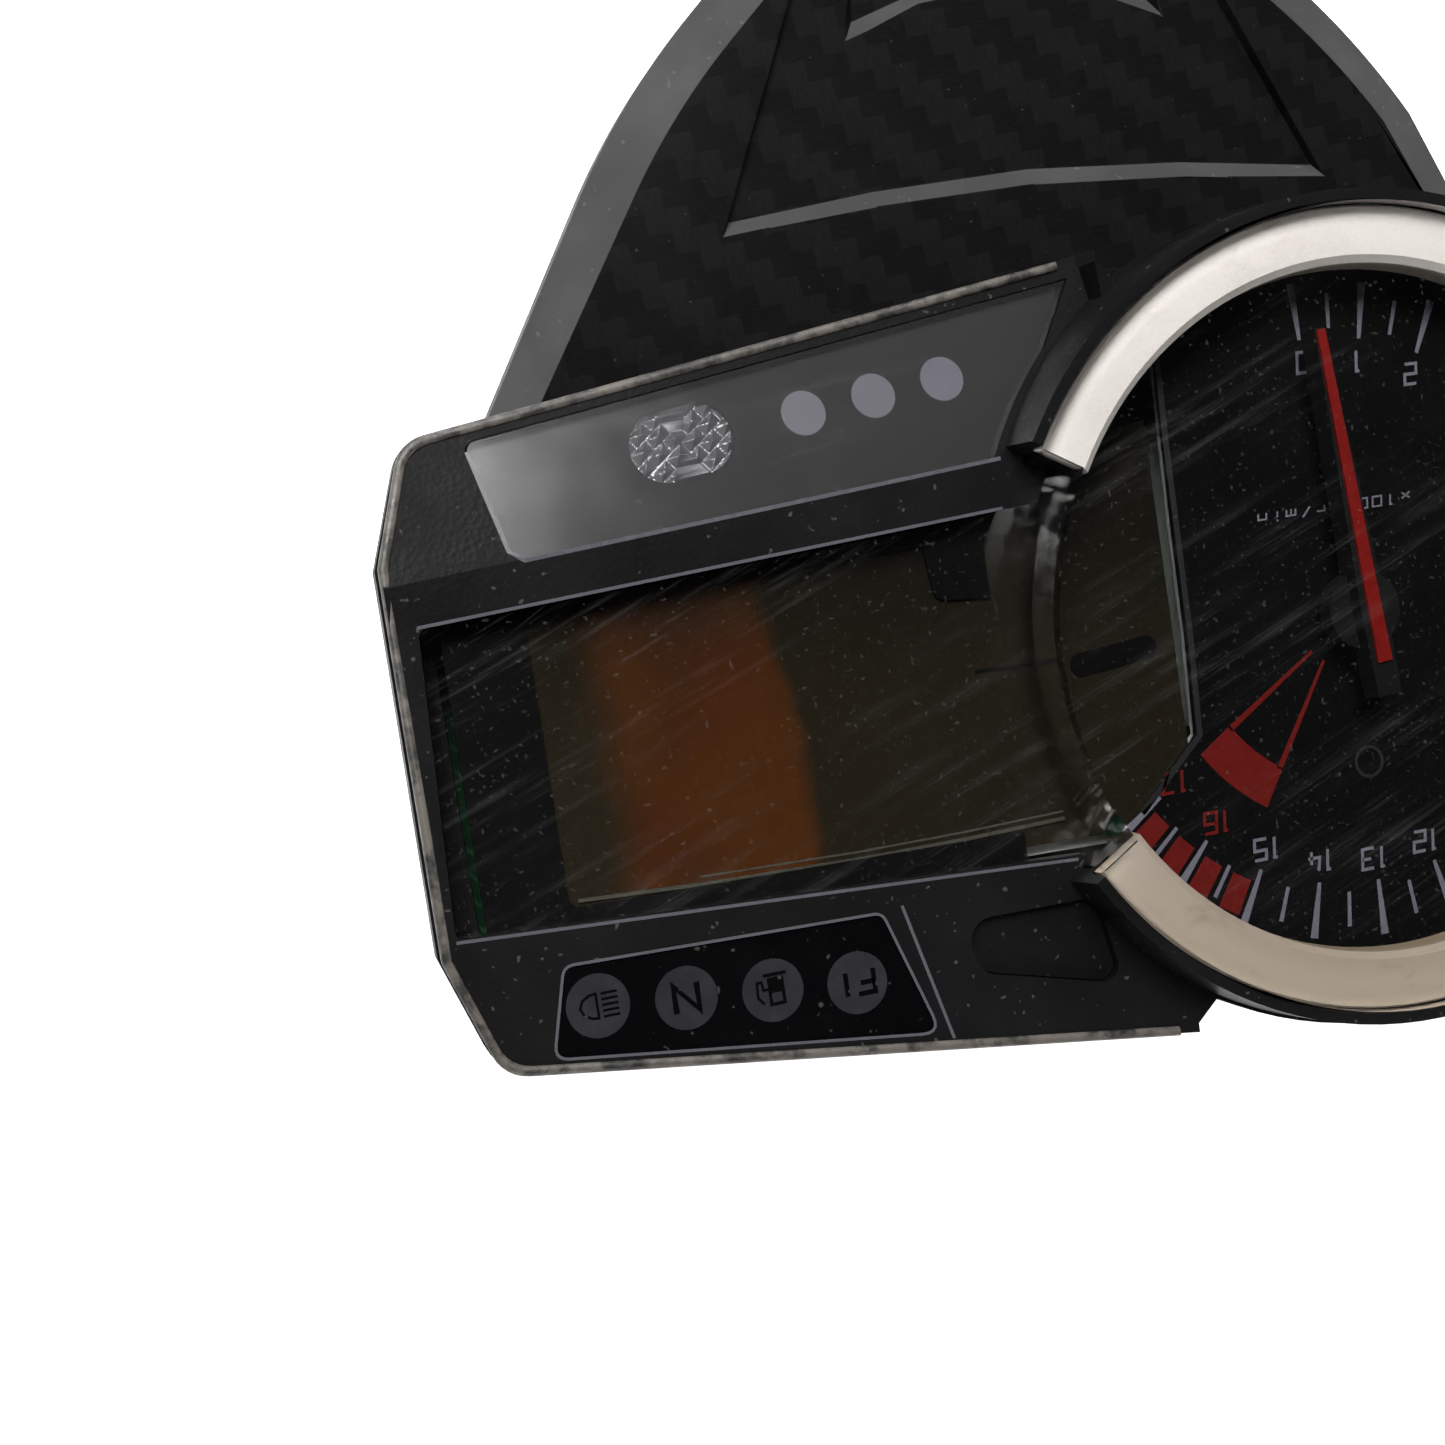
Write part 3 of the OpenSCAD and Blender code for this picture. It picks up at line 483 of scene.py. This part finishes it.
# Strokes of each sign, on a cell 1 wide and 1.5 tall; True means a closed line
GLYPHS = {
    "0": [([(0, 0), (1, 0), (1, 1.5), (0, 1.5)], True)],
    "1": [([(0.35, 1.5), (0.62, 1.5), (0.62, 0)], False)],
    "2": [([(0, 1.5), (1, 1.5), (1, 0.75), (0, 0.75), (0, 0), (1, 0)], False)],
    "3": [([(0, 1.5), (1, 1.5), (1, 0), (0, 0)], False), ([(0.25, 0.77), (1, 0.77)], False)],
    "4": [([(0.1, 1.5), (0, 0.5), (1, 0.5)], False), ([(0.72, 0.95), (0.72, 0)], False)],
    "5": [([(1, 1.5), (0, 1.5), (0, 0.82), (1, 0.82), (1, 0), (0, 0)], False)],
    "6": [([(1, 1.5), (0, 1.5), (0, 0), (1, 0), (1, 0.82), (0, 0.82)], False)],
    "7": [([(0, 1.5), (1, 1.5), (0.45, 0)], False)],
    "8": [([(0, 0), (1, 0), (1, 1.5), (0, 1.5)], True), ([(0, 0.77), (1, 0.77)], False)],
    "9": [([(1, 0.7), (0, 0.7), (0, 1.5), (1, 1.5), (1, 0), (0, 0)], False)],
    "x": [([(0, 0), (0.9, 0.9)], False), ([(0, 0.9), (0.9, 0)], False)],
    "r": [([(0, 0), (0, 0.95), (0.8, 0.95)], False)],
    "/": [([(0, 0), (0.8, 1.5)], False)],
    "m": [([(0, 0), (0, 0.95), (1, 0.95), (1, 0)], False), ([(0.5, 0.95), (0.5, 0)], False)],
    "i": [([(0.4, 0), (0.4, 0.95)], False), ([(0.4, 1.25), (0.4, 1.5)], False)],
    "n": [([(0, 0), (0, 0.95), (0.9, 0.95), (0.9, 0)], False)],
    "N": [([(0, 0), (0, 1.5), (1, 0), (1, 1.5)], False)],
    "F": [([(0, 0), (0, 1.5), (1, 1.5)], False), ([(0, 0.8), (0.8, 0.8)], False)],
    "I": [([(0.2, 0), (0.2, 1.5)], False)],
    " ": [],
}


def write(bm, text, centre, height, width, line, low, high, pitch=1.35, slant=0.12):
    """Draws text centred on a point, upright in the model's frame."""
    step = width * pitch
    start = centre[0] - (step * (len(text) - 1) + width) / 2
    for i, sign in enumerate(text):
        for points, closed in GLYPHS[sign]:
            placed = [(start + i * step + x * width + slant * (y - 0.75) * height / 1.5,
                       centre[1] + (y - 0.75) * height / 1.5) for x, y in points]
            stroke(bm, placed, line, low, high, closed)


# ---- The dial's print ----

ZERO_ANGLE = -87.8
STEP_ANGLE = 14.05
LAST_NUMBER = 17
RED_FROM = 15
NUMERAL_R = 33.6
PRINT_LOW, PRINT_HIGH = DIAL_Z + 0.01, DIAL_Z + 0.05


def scale_angle(value):
    return ZERO_ANGLE - value * STEP_ANGLE


def tick(bm, value, r_in, r_out, w_in, w_out):
    a = scale_angle(value)
    across = polar(1, a + 90)
    inner, outer = polar(r_in, a), polar(r_out, a)
    prism(bm, [inner - across * w_in / 2, outer - across * w_out / 2,
               outer + across * w_out / 2, inner + across * w_in / 2], PRINT_LOW, PRINT_HIGH)


def numeral(bm, value):
    write(bm, str(value), polar(NUMERAL_R, scale_angle(value)), 2.7, 1.75, 0.42, PRINT_LOW, PRINT_HIGH, 1.3)


def dial_white():
    bm = bmesh.new()
    for value in range(LAST_NUMBER + 1):
        tick(bm, value, 36.6, 44.1, 0.5, 1.15)
        if value < LAST_NUMBER:
            tick(bm, value + 0.5, 37.8, 42.5, 0.5, 0.6)
        if value <= RED_FROM:
            numeral(bm, value)
    write(bm, "x1000 r/min", (-0.5, -13.9), 1.3, 1.35, 0.24, PRINT_LOW, PRINT_HIGH, 1.62)
    return piece("dial_print_white", bm, ["print_white"])


def arc_band(r_in, r_out, a0, a1, steps=8):
    angles = [a0 + (a1 - a0) * i / steps for i in range(steps + 1)]
    return [polar(r_out, a) for a in angles] + [polar(r_in, a) for a in reversed(angles)]


def dial_red():
    bm = bmesh.new()
    for value in range(RED_FROM + 1, LAST_NUMBER + 1):
        numeral(bm, value)
    for half in range(2 * (LAST_NUMBER - RED_FROM)):
        value = RED_FROM + half / 2
        prism(bm, arc_band(38.4, 43.3, scale_angle(value + 0.40), scale_angle(value + 0.10)), PRINT_LOW, PRINT_HIGH)
    # the shift zone's sign: a band with two lines that run in to the hub
    prism(bm, arc_band(22.9, 28.6, 33, 57.5, 12), PRINT_LOW, PRINT_HIGH)
    for angle, inner_angle in ((34, 39), (56.5, 56)):
        far, near = polar(23.2, angle), polar(7.3, inner_angle)
        across = polar(0.42, angle + 90)
        prism(bm, [far - across, far + across, near + across * 0.5, near - across * 0.5], PRINT_LOW, PRINT_HIGH)
    return piece("dial_print_red", bm, ["print_red"])


def dial_grey():
    bm = bmesh.new()
    edge = [(22.2, -44), (22.8, -26), (23.1, 0), (23.7, 13), (33.4, 21.8)]
    stroke(bm, edge, 0.8, PRINT_LOW, PRINT_HIGH)
    stroke(bm, [Vector((-0.7, 20.6)) + polar(2.0, a) for a in range(0, 360, 15)], 0.45, PRINT_LOW, PRINT_HIGH, True)
    return piece("dial_print_grey", bm, ["print_grey"])


dial_white()
dial_red()
dial_grey()


# ---- Signs on the warning lamps ----

LAMP_FIRST = Vector((108.8, 31.7))
LAMP_STEP = Vector((-10.8, 1.2))
SIGN_LOW, SIGN_HIGH = ICON_Z + 0.005, ICON_Z + 0.04


def lamp_signs():
    bm = bmesh.new()
    beam, neutral, fuel, engine = (LAMP_FIRST + LAMP_STEP * i for i in range(4))
    # high beam: a headlamp with five rays
    bowl = [(0.1, 1.5), (0.9, 1.4), (1.8, 0.9), (2.2, 0), (1.8, -0.9), (0.9, -1.4), (0.1, -1.5)]
    stroke(bm, [beam + Vector(p) for p in bowl], 0.3, SIGN_LOW, SIGN_HIGH, True)
    for i in range(5):
        y = 1.4 - 0.7 * i
        stroke(bm, [beam + Vector((-2.5, y)), beam + Vector((-0.5, y))], 0.3, SIGN_LOW, SIGN_HIGH)
    write(bm, "N", neutral, 3.4, 2.9, 0.75, SIGN_LOW, SIGN_HIGH, slant=0)
    # fuel pump: body, window bar, foot and hose
    prism(bm, [fuel + Vector(p) for p in ((-1.5, -1.6), (0.6, -1.6), (0.6, 0.3), (-1.5, 0.3))], SIGN_LOW, SIGN_HIGH)
    stroke(bm, [fuel + Vector(p) for p in ((-1.3, 0.3), (-1.3, 1.7), (0.4, 1.7), (0.4, 0.3))], 0.4, SIGN_LOW, SIGN_HIGH)
    stroke(bm, [fuel + Vector(p) for p in ((-1.9, -1.95), (1.0, -1.95))], 0.4, SIGN_LOW, SIGN_HIGH)
    hose = ((0.6, -0.2), (1.2, -0.2), (1.3, -1.2), (1.9, -1.2), (2.0, 0.6), (1.3, 1.5))
    stroke(bm, [fuel + Vector(p) for p in hose], 0.32, SIGN_LOW, SIGN_HIGH)
    write(bm, "FI", engine + Vector((0.5, 0)), 2.9, 2.2, 0.6, SIGN_LOW, SIGN_HIGH, pitch=1.45, slant=0)
    return piece("lamp_signs", bm, ["icon_gloss"])


lamp_signs()


# ---- Marks on the display, with a painted reflection ----

def display_marks():
    bm = bmesh.new()
    low, high = LCD_Z + 0.02, LCD_Z + 0.05
    # the line and the square are a painted reflection drawn as dark print; the pill is a dark mark
    stroke(bm, [(53.3, 0), (45.6, 0.3)], 0.5, low, high)
    prism(bm, [(42.9, -0.9), (44.7, -0.9), (44.7, 2.9), (42.9, 2.9)], low, high)
    pill = [Vector((38.6, 1.4)) + polar(1.6, a) for a in range(-90, 91, 15)]
    pill += [Vector((29.2, 0.5)) + polar(1.6, a) for a in range(90, 271, 15)]
    prism(bm, pill, low, high)
    return piece("display_marks", bm, ["print_black"])


display_marks()


def display_rim():
    """The display's moulded rim along its upper side, a pale double line that is a painted highlight."""
    bm = bmesh.new()
    upper = [(108.5, 19.5), (93.0, 20.3), (72.0, 20.9), (58.0, 20.9), (44.0, 20.6)]
    stroke(bm, upper, 0.45, LCD_Z + 0.05, LCD_Z + 0.35)
    stroke(bm, [(x, y - 0.9) for x, y in upper[1:]], 0.25, LCD_Z + 0.02, LCD_Z + 0.08)
    return piece("display_rim", bm, ["display_rim"])


display_rim()


# ---- The sloping strip and rounded corners ----

STRIP_BREAK = Vector((110.6, -22.0))
STRIP_ANGLE = math.atan2(4.4, 63.3)
STRIP_SLOPE = math.radians(12)
REFLECTOR_AT = Vector((87.2, -33.6))
REFLECTOR_HALF, REFLECTOR_R = 2.1, 4.45
REFLECTOR_FACE, REFLECTOR_CENTRE, REFLECTOR_BACK = 1.95, 2.3, 2.95  # depths under the strip's face


def strip_height(p, depth):
    """Height of the strip's sloping face over a point, less a depth under it."""
    down = (Vector((p[0], p[1])) - STRIP_BREAK).dot(Vector((-math.sin(STRIP_ANGLE), math.cos(STRIP_ANGLE))))
    return WING_Z + down * math.tan(STRIP_SLOPE) - depth / math.cos(STRIP_SLOPE)


def lip_height(p):
    """The wing's top over a point: flat, and sloping over the strip."""
    return min(WING_Z, strip_height(p, 0))


def corner(a, b, c, radius, steps):
    """Points of the arc that rounds the corner b."""
    u, w = (a - b).normalized(), (c - b).normalized()
    half = u.angle(w) / 2
    centre = b + (u + w).normalized() * radius / math.sin(half)
    p, q = b + u * radius / math.tan(half) - centre, b + w * radius / math.tan(half) - centre
    start = math.atan2(p.y, p.x)
    turn = (math.atan2(q.y, q.x) - start + math.pi) % (2 * math.pi) - math.pi
    return [centre + Vector((radius * math.cos(start + turn * i / steps), radius * math.sin(start + turn * i / steps)))
            for i in range(steps + 1)]


# ---- Pale lip round the wing ----

DRUM_R = 55.0
WING_TAPER = math.radians(8.3)
END_SLANT, END_DISTANCE, END_X = math.radians(19), 127.0, 126.3


def crossing(a1, d1, a2, d2):
    """Where two lines meet, each given by its normal's angle and its distance from the origin."""
    spread = math.sin(a2 - a1)
    return Vector(((d1 * math.sin(a2) - d2 * math.sin(a1)) / spread, (d2 * math.cos(a1) - d1 * math.cos(a2)) / spread))


def wing_line(inside):
    """The wing's outline from its lower root round the end to its upper root, moved inwards."""
    normal = math.pi / 2 - WING_TAPER
    tip = crossing(END_SLANT, END_DISTANCE - inside, normal, DRUM_R - inside)
    side = crossing(0, END_X - inside, END_SLANT, END_DISTANCE - inside)
    root = tip + Vector((-math.sin(normal), math.cos(normal))) * (tip.x - 33.5)
    upper = [root] + corner(root, tip, side, 5 - inside * 0.5, 6) + [side]
    lower = [Vector((p.x, -p.y)) for p in upper]
    return lower + upper[::-1]


def wing_lip():
    """A rounded bead along the wing's edge, paler in blotches."""
    profile = [(0.05, -0.5), (0.05, 0.15), (0.35, 0.42), (0.95, 0.42), (1.25, 0.15), (1.25, -0.5)]
    lines = [(wing_line(inside), rise) for inside, rise in profile]
    bm = bmesh.new()
    rings = []
    for i in range(len(lines[0][0])):
        rings.append([bm.verts.new((line[i].x, line[i].y, lip_height(line[i]) + rise)) for line, rise in lines])
    count = len(profile)
    for one, two in zip(rings, rings[1:]):
        for k in range(count):
            m = (k + 1) % count
            bm.faces.new((one[k], one[m], two[m], two[k]))
    bm.faces.new(rings[0])
    bm.faces.new(rings[-1][::-1])
    obj = piece("wing_lip", bm, ["worn_edge"])
    for face in obj.data.polygons:
        face.use_smooth = True
    obj.data.set_sharp_from_angle(angle=math.radians(60))
    return obj


wing_lip()


# ---- Painted highlights along the polished edges round the flat windows ----

def rounded(points, radius, steps=5):
    """A closed outline with every corner rounded."""
    out = []
    count = len(points)
    for i, p in enumerate(points):
        a, b, c = Vector(points[i - 1]), Vector(p), Vector(points[(i + 1) % count])
        u, w = (a - b).normalized(), (c - b).normalized()
        half = u.angle(w) / 2
        start, end = b + u * radius / math.tan(half), b + w * radius / math.tan(half)
        for k in range(steps + 1):
            t = k / steps
            out.append(start * (1 - t) ** 2 + b * 2 * t * (1 - t) + end * t ** 2)
    return out


ICON_FIELD = [(72, 27.3), (66.6, 43.6), (115, 37), (112.2, 26.2)]


def lens_edges():
    bm = bmesh.new()
    low, high = WING_Z + 0.01, WING_Z + 0.06
    # pale lines drawn along the windows' edges: painted highlights
    lower, upper = [(48.5, -20.0), (122.9, -15.9)], [(45, 25.4), (124.2, 21.1)]
    for line in (lower, upper):
        stroke(bm, line, 0.4, low, high)
    stroke(bm, rounded(ICON_FIELD, 1.6), 0.35, low, high, True)
    stroke(bm, [(69.3, 26.9), (65.0, 44.6)], 0.4, low, high)
    stroke(bm, [(47.8, -26.2), (109.2, -21.9), (110.9, -23.2), (113.6, -35.6)], 0.5, low - 0.4, high)
    for vert in bm.verts:
        vert.co.z += lip_height(vert.co) - WING_Z
    return piece("lens_edges", bm, ["lens_gleam"])


lens_edges()


# ---- Faceted shift lamp ----

def shift_lamp():
    """A metallised lamp face of small pyramids in rows."""
    pitch, rise, rings, spokes = 1.7, 0.75, 36, 96
    bm = bmesh.new()
    grid = []
    for ring in range(rings + 1):
        row = []
        for spoke in range(spokes):
            angle = 360 * spoke / spokes
            side = 1 if math.cos(math.radians(angle)) >= 0 else -1
            rim = polar(REFLECTOR_R, angle) + Vector((side * REFLECTOR_HALF, 0))
            p = REFLECTOR_AT + Matrix.Rotation(math.radians(6), 2) @ (rim * ring / rings)
            local = Matrix.Rotation(math.radians(-38), 2) @ (p - REFLECTOR_AT)
            line = math.floor(local.y / pitch)
            u = abs((local.x / pitch / 1.7 + 0.5 * line) % 1 - 0.5) * 2
            v = abs((local.y / pitch) % 1 - 0.5) * 2
            depth = REFLECTOR_FACE + rise * max(u, v)
            row.append(bm.verts.new((*p, strip_height(p, depth))))
        grid.append(row)
    for ring in range(1, rings):
        for spoke in range(spokes):
            after = (spoke + 1) % spokes
            bm.faces.new((grid[ring][spoke], grid[ring][after], grid[ring + 1][after], grid[ring + 1][spoke]))
    centre = bm.verts.new((*REFLECTOR_AT, strip_height(REFLECTOR_AT, REFLECTOR_CENTRE)))
    for spoke in range(spokes):
        bm.faces.new((centre, grid[1][(spoke + 1) % spokes], grid[1][spoke]))
    for vert in grid[0]:
        bm.verts.remove(vert)
    # sides and back
    rim = grid[rings]
    back = [bm.verts.new((v.co.x, v.co.y, strip_height(v.co, REFLECTOR_BACK))) for v in rim]
    for spoke in range(spokes):
        after = (spoke + 1) % spokes
        bm.faces.new((rim[spoke], rim[after], back[after], back[spoke]))
    bm.faces.new(back)
    obj = piece("shift_lamp_facets", bm, ["chrome_facet"])
    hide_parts("shift_reflector")
    return obj


shift_lamp()


# ---- Trim panel ----

PANEL_X = 34.0
FIRST_STEP, SECOND_STEP = 1.3, 1.2  # depths of the recess's two steps
PANEL_FOOT = 104.0
FLANK = 5.6
RIM_STEP, PANEL_GAP = 3.5, 0.5
CASE_R = DRUM_R - RIM_STEP + PANEL_GAP


def panel_edge(inside):
    """The panel's free edge from its left end to its right, moved inwards."""
    half = [Vector((77.6 - inside, -37)), Vector((52.2 - inside, -77.6 + inside * 0.5)),
            Vector((24 - inside * 0.5, -PANEL_FOOT + inside))]
    right = half[::-1]
    left = [Vector((-p.x, p.y)) for p in half]
    corners = left + right
    radii = [0, 100, 38, 38, 100, 0]
    edge = []
    for i, p in enumerate(corners):
        if radii[i]:
            edge += corner(corners[i - 1], p, corners[i + 1], radii[i], 12)
        else:
            edge.append(p)
    return [Vector((PANEL_X + p.x, p.y)) for p in edge]


def inner_edge():
    """The panel's upper edge, from right to left, where it tucks under the case's rim."""
    def on_case(x):
        return -(CASE_R - x * math.sin(WING_TAPER)) / math.cos(WING_TAPER)
    tangent_x = CASE_R * math.sin(WING_TAPER)
    straight = [Vector((x, on_case(x))) for x in (111.6, 80.0, 50.0, tangent_x)]
    arc = [polar(CASE_R, a) for a in range(-100, -142, -4)]
    return straight + arc


def lofted(name, loops, slots, cap_slots=(0, 0), side_slots=None):
    """A closed solid through loops of equal length, from bottom to top."""
    bm = bmesh.new()
    rings = [[bm.verts.new((p[0], p[1], z)) for p in loop] for loop, z in loops]
    count = len(rings[0])
    for level in range(len(rings) - 1):
        for i in range(count):
            j = (i + 1) % count
            face = bm.faces.new((rings[level][i], rings[level][j], rings[level + 1][j], rings[level + 1][i]))
            face.material_index = side_slots[level] if side_slots else 0
    bm.faces.new(rings[0][::-1]).material_index = cap_slots[0]
    bm.faces.new(rings[-1]).material_index = cap_slots[1]
    return piece(name, bm, slots)


def cut(target, cutter):
    """Takes one solid from another for good, then drops the cutter."""
    tool = target.modifiers.new("cut", "BOOLEAN")
    tool.operation = "DIFFERENCE"
    tool.solver = "EXACT"
    tool.object = cutter
    tool.material_mode = "TRANSFER"
    bpy.context.view_layer.update()
    made = bpy.data.meshes.new_from_object(target.evaluated_get(bpy.context.evaluated_depsgraph_get()))
    target.modifiers.remove(tool)
    old = target.data
    target.data = made
    bpy.data.meshes.remove(old)
    bpy.data.objects.remove(cutter)


def sink(panel, top, depth, sill, floor):
    """Sinks a recess with sloping sides into the panel, its corners measured from the panel's middle.

    The ledge nearest the dial is grey, a painted highlight; the rest is the panel's own print.
    """
    middle = Vector((PANEL_X, 0))
    sill, floor = [middle + Vector(p) for p in sill], [middle + Vector(p) for p in floor]
    over = 0.6
    above = [a + (a - b) * (over / depth) for a, b in zip(sill, floor)]
    tool = lofted("recess", [(floor, top - depth), (above, top + over)], ["carbon_panel", "panel_grey"])
    for face in tool.data.polygons:
        if face.normal.y > 0.3:
            face.material_index = 1
    cut(panel, tool)


def trim_panel():
    top, low, skirt, shell = PANEL_HIGH, PANEL_LOW, 5.4, 5.4
    ends = inner_edge()

    def loop(inside):
        edge = panel_edge(inside)
        return edge[1:-1]

    def ring(inside):
        middle = loop(inside)
        first, last = Vector((ends[-1].x + inside, ends[-1].y)), Vector((ends[0].x - inside, ends[0].y))
        return [first] + middle + [last] + ends[1:-1]

    outer = ring(0)
    levels = [(outer, low), (outer, low + skirt), (ring(FLANK * 0.82), top - 0.5), (ring(FLANK), top)]
    # the flank's light grey is a painted reflection
    panel = lofted("trim_panel", levels, ["carbon_panel", "panel_grey", "bezel_black"], (2, 0), (1, 1, 1))
    hollow = lofted("hollow", [(ring(2.2), low - 1), (ring(2.2), low + skirt - 0.5), (ring(FLANK + 2), top - shell)],
                    ["bezel_black"])
    cut(panel, hollow)
    # the recess, then a second step down in it; each has a sloping ledge on the side nearest the dial
    sink(panel, top, FIRST_STEP,
         [(-42.8, -58.6), (-22, -60.5), (0, -61.4), (22, -60.5), (42.8, -58.6),
          (34.0, -77.6), (26.5, -94), (-26.5, -94), (-34.0, -77.6)],
         [(-41.6, -60.6), (-21.8, -62.7), (0, -63.7), (21.8, -62.7), (41.6, -60.6),
          (33.5, -77.6), (26.1, -93.4), (-26.1, -93.4), (-33.5, -77.6)])
    sink(panel, top - FIRST_STEP, SECOND_STEP,
         [(-22.5, -82.0), (-12, -86.0), (0, -87.6), (12, -86.0), (22.5, -82.0),
          (20.5, -92.4), (-20.5, -92.4)],
         [(-21.0, -84.6), (-11.5, -87.8), (0, -89.4), (11.5, -87.8), (21.0, -84.6),
          (19.8, -91.7), (-19.8, -91.7)])
    bevel = panel.modifiers.new("soften", "BEVEL")
    bevel.width, bevel.segments = 0.35 * MM, 3
    bevel.limit_method, bevel.angle_limit = "ANGLE", math.radians(20)
    for face in panel.data.polygons:
        face.use_smooth = True
    panel.data.set_sharp_from_angle(angle=math.radians(30))
    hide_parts("lower_panel")
    return panel


trim_panel()


# ---- Stage, light and camera ----

def floor():
    s = Shader("floor", (0.86, 0.86, 0.86), 0.9, Emission_Color=(1, 1, 1, 1), Emission_Strength=0.95)
    mesh = bpy.data.meshes.new("floor")
    half = 3.0
    mesh.from_pydata([(-half, -half, 0), (half, -half, 0), (half, half, 0), (-half, half, 0)], [], [(0, 1, 2, 3)])
    mesh.materials.append(s.mat)
    obj = bpy.data.objects.new("floor", mesh)
    obj.location.z = -0.0002
    bpy.context.scene.collection.objects.link(obj)


def panel_light(name, at, aim, size, power, colour=(1, 1, 1)):
    data = bpy.data.lights.new(name, "AREA")
    data.shape = "RECTANGLE"
    data.size, data.size_y = size
    data.energy = power
    data.color = colour
    obj = bpy.data.objects.new(name, data)
    obj.location = at
    obj.rotation_euler = (Vector(aim) - Vector(at)).to_track_quat("-Z", "Y").to_euler()
    bpy.context.scene.collection.objects.link(obj)


def studio():
    """A dim grey world, darker still overhead, with a softbox, a high and a low key, and two fills."""
    world = bpy.data.worlds.new("studio")
    world.use_nodes = True
    bpy.context.scene.world = world
    tree = world.node_tree
    place = tree.nodes.new("ShaderNodeTexCoord")
    split = tree.nodes.new("ShaderNodeSeparateXYZ")
    ramp = tree.nodes.new("ShaderNodeMapRange")
    tree.links.new(place.outputs["Generated"], split.inputs[0])
    tree.links.new(split.outputs["Z"], ramp.inputs["Value"])
    ramp.interpolation_type = "SMOOTHSTEP"
    for socket, number in (("From Min", 0.02), ("From Max", 0.70), ("To Min", 1.0), ("To Max", 0.03)):
        ramp.inputs[socket].default_value = number
    tree.links.new(ramp.outputs["Result"], tree.nodes["Background"].inputs["Strength"])
    panel_light("softbox", (-0.20, -0.55, 0.80), (0.07, -0.03, 0.03), (0.40, 0.40), 0.33)
    panel_light("key", (0.34, -0.70, 0.95), (0.04, -0.02, 0.03), (0.6, 0.6), 19.5)
    panel_light("low_key", (0.10, -1.10, 0.50), (0.03, -0.02, 0.03), (1.2, 0.4), 7.0)
    panel_light("fill", (0.25, 1.05, 0.60), (0.05, 0.0, 0.03), (0.8, 0.4), 5.0)
    panel_light("side_fill", (-0.95, 0.35, 0.45), (0.0, 0.0, 0.02), (0.8, 0.4), 4.0)


def camera():
    at = Vector((0.1448, -0.0125, 0.2548))
    ahead = Vector((-0.2453, 0.0577, -0.9677)).normalized()
    up_hint = Vector((-0.160, -0.987, -0.018))
    right = ahead.cross(up_hint).normalized()
    up = right.cross(ahead)
    data = bpy.data.cameras.new("camera")
    data.lens = 47.33
    data.sensor_width = 36
    data.clip_start = 0.01
    obj = bpy.data.objects.new("camera", data)
    basis = Matrix((right, up, -ahead)).transposed().to_4x4()
    obj.matrix_world = Matrix.Translation(at) @ basis
    bpy.context.scene.collection.objects.link(obj)
    bpy.context.scene.camera = obj


floor()
studio()
camera()
bpy.context.scene.view_settings.view_transform = "Standard"
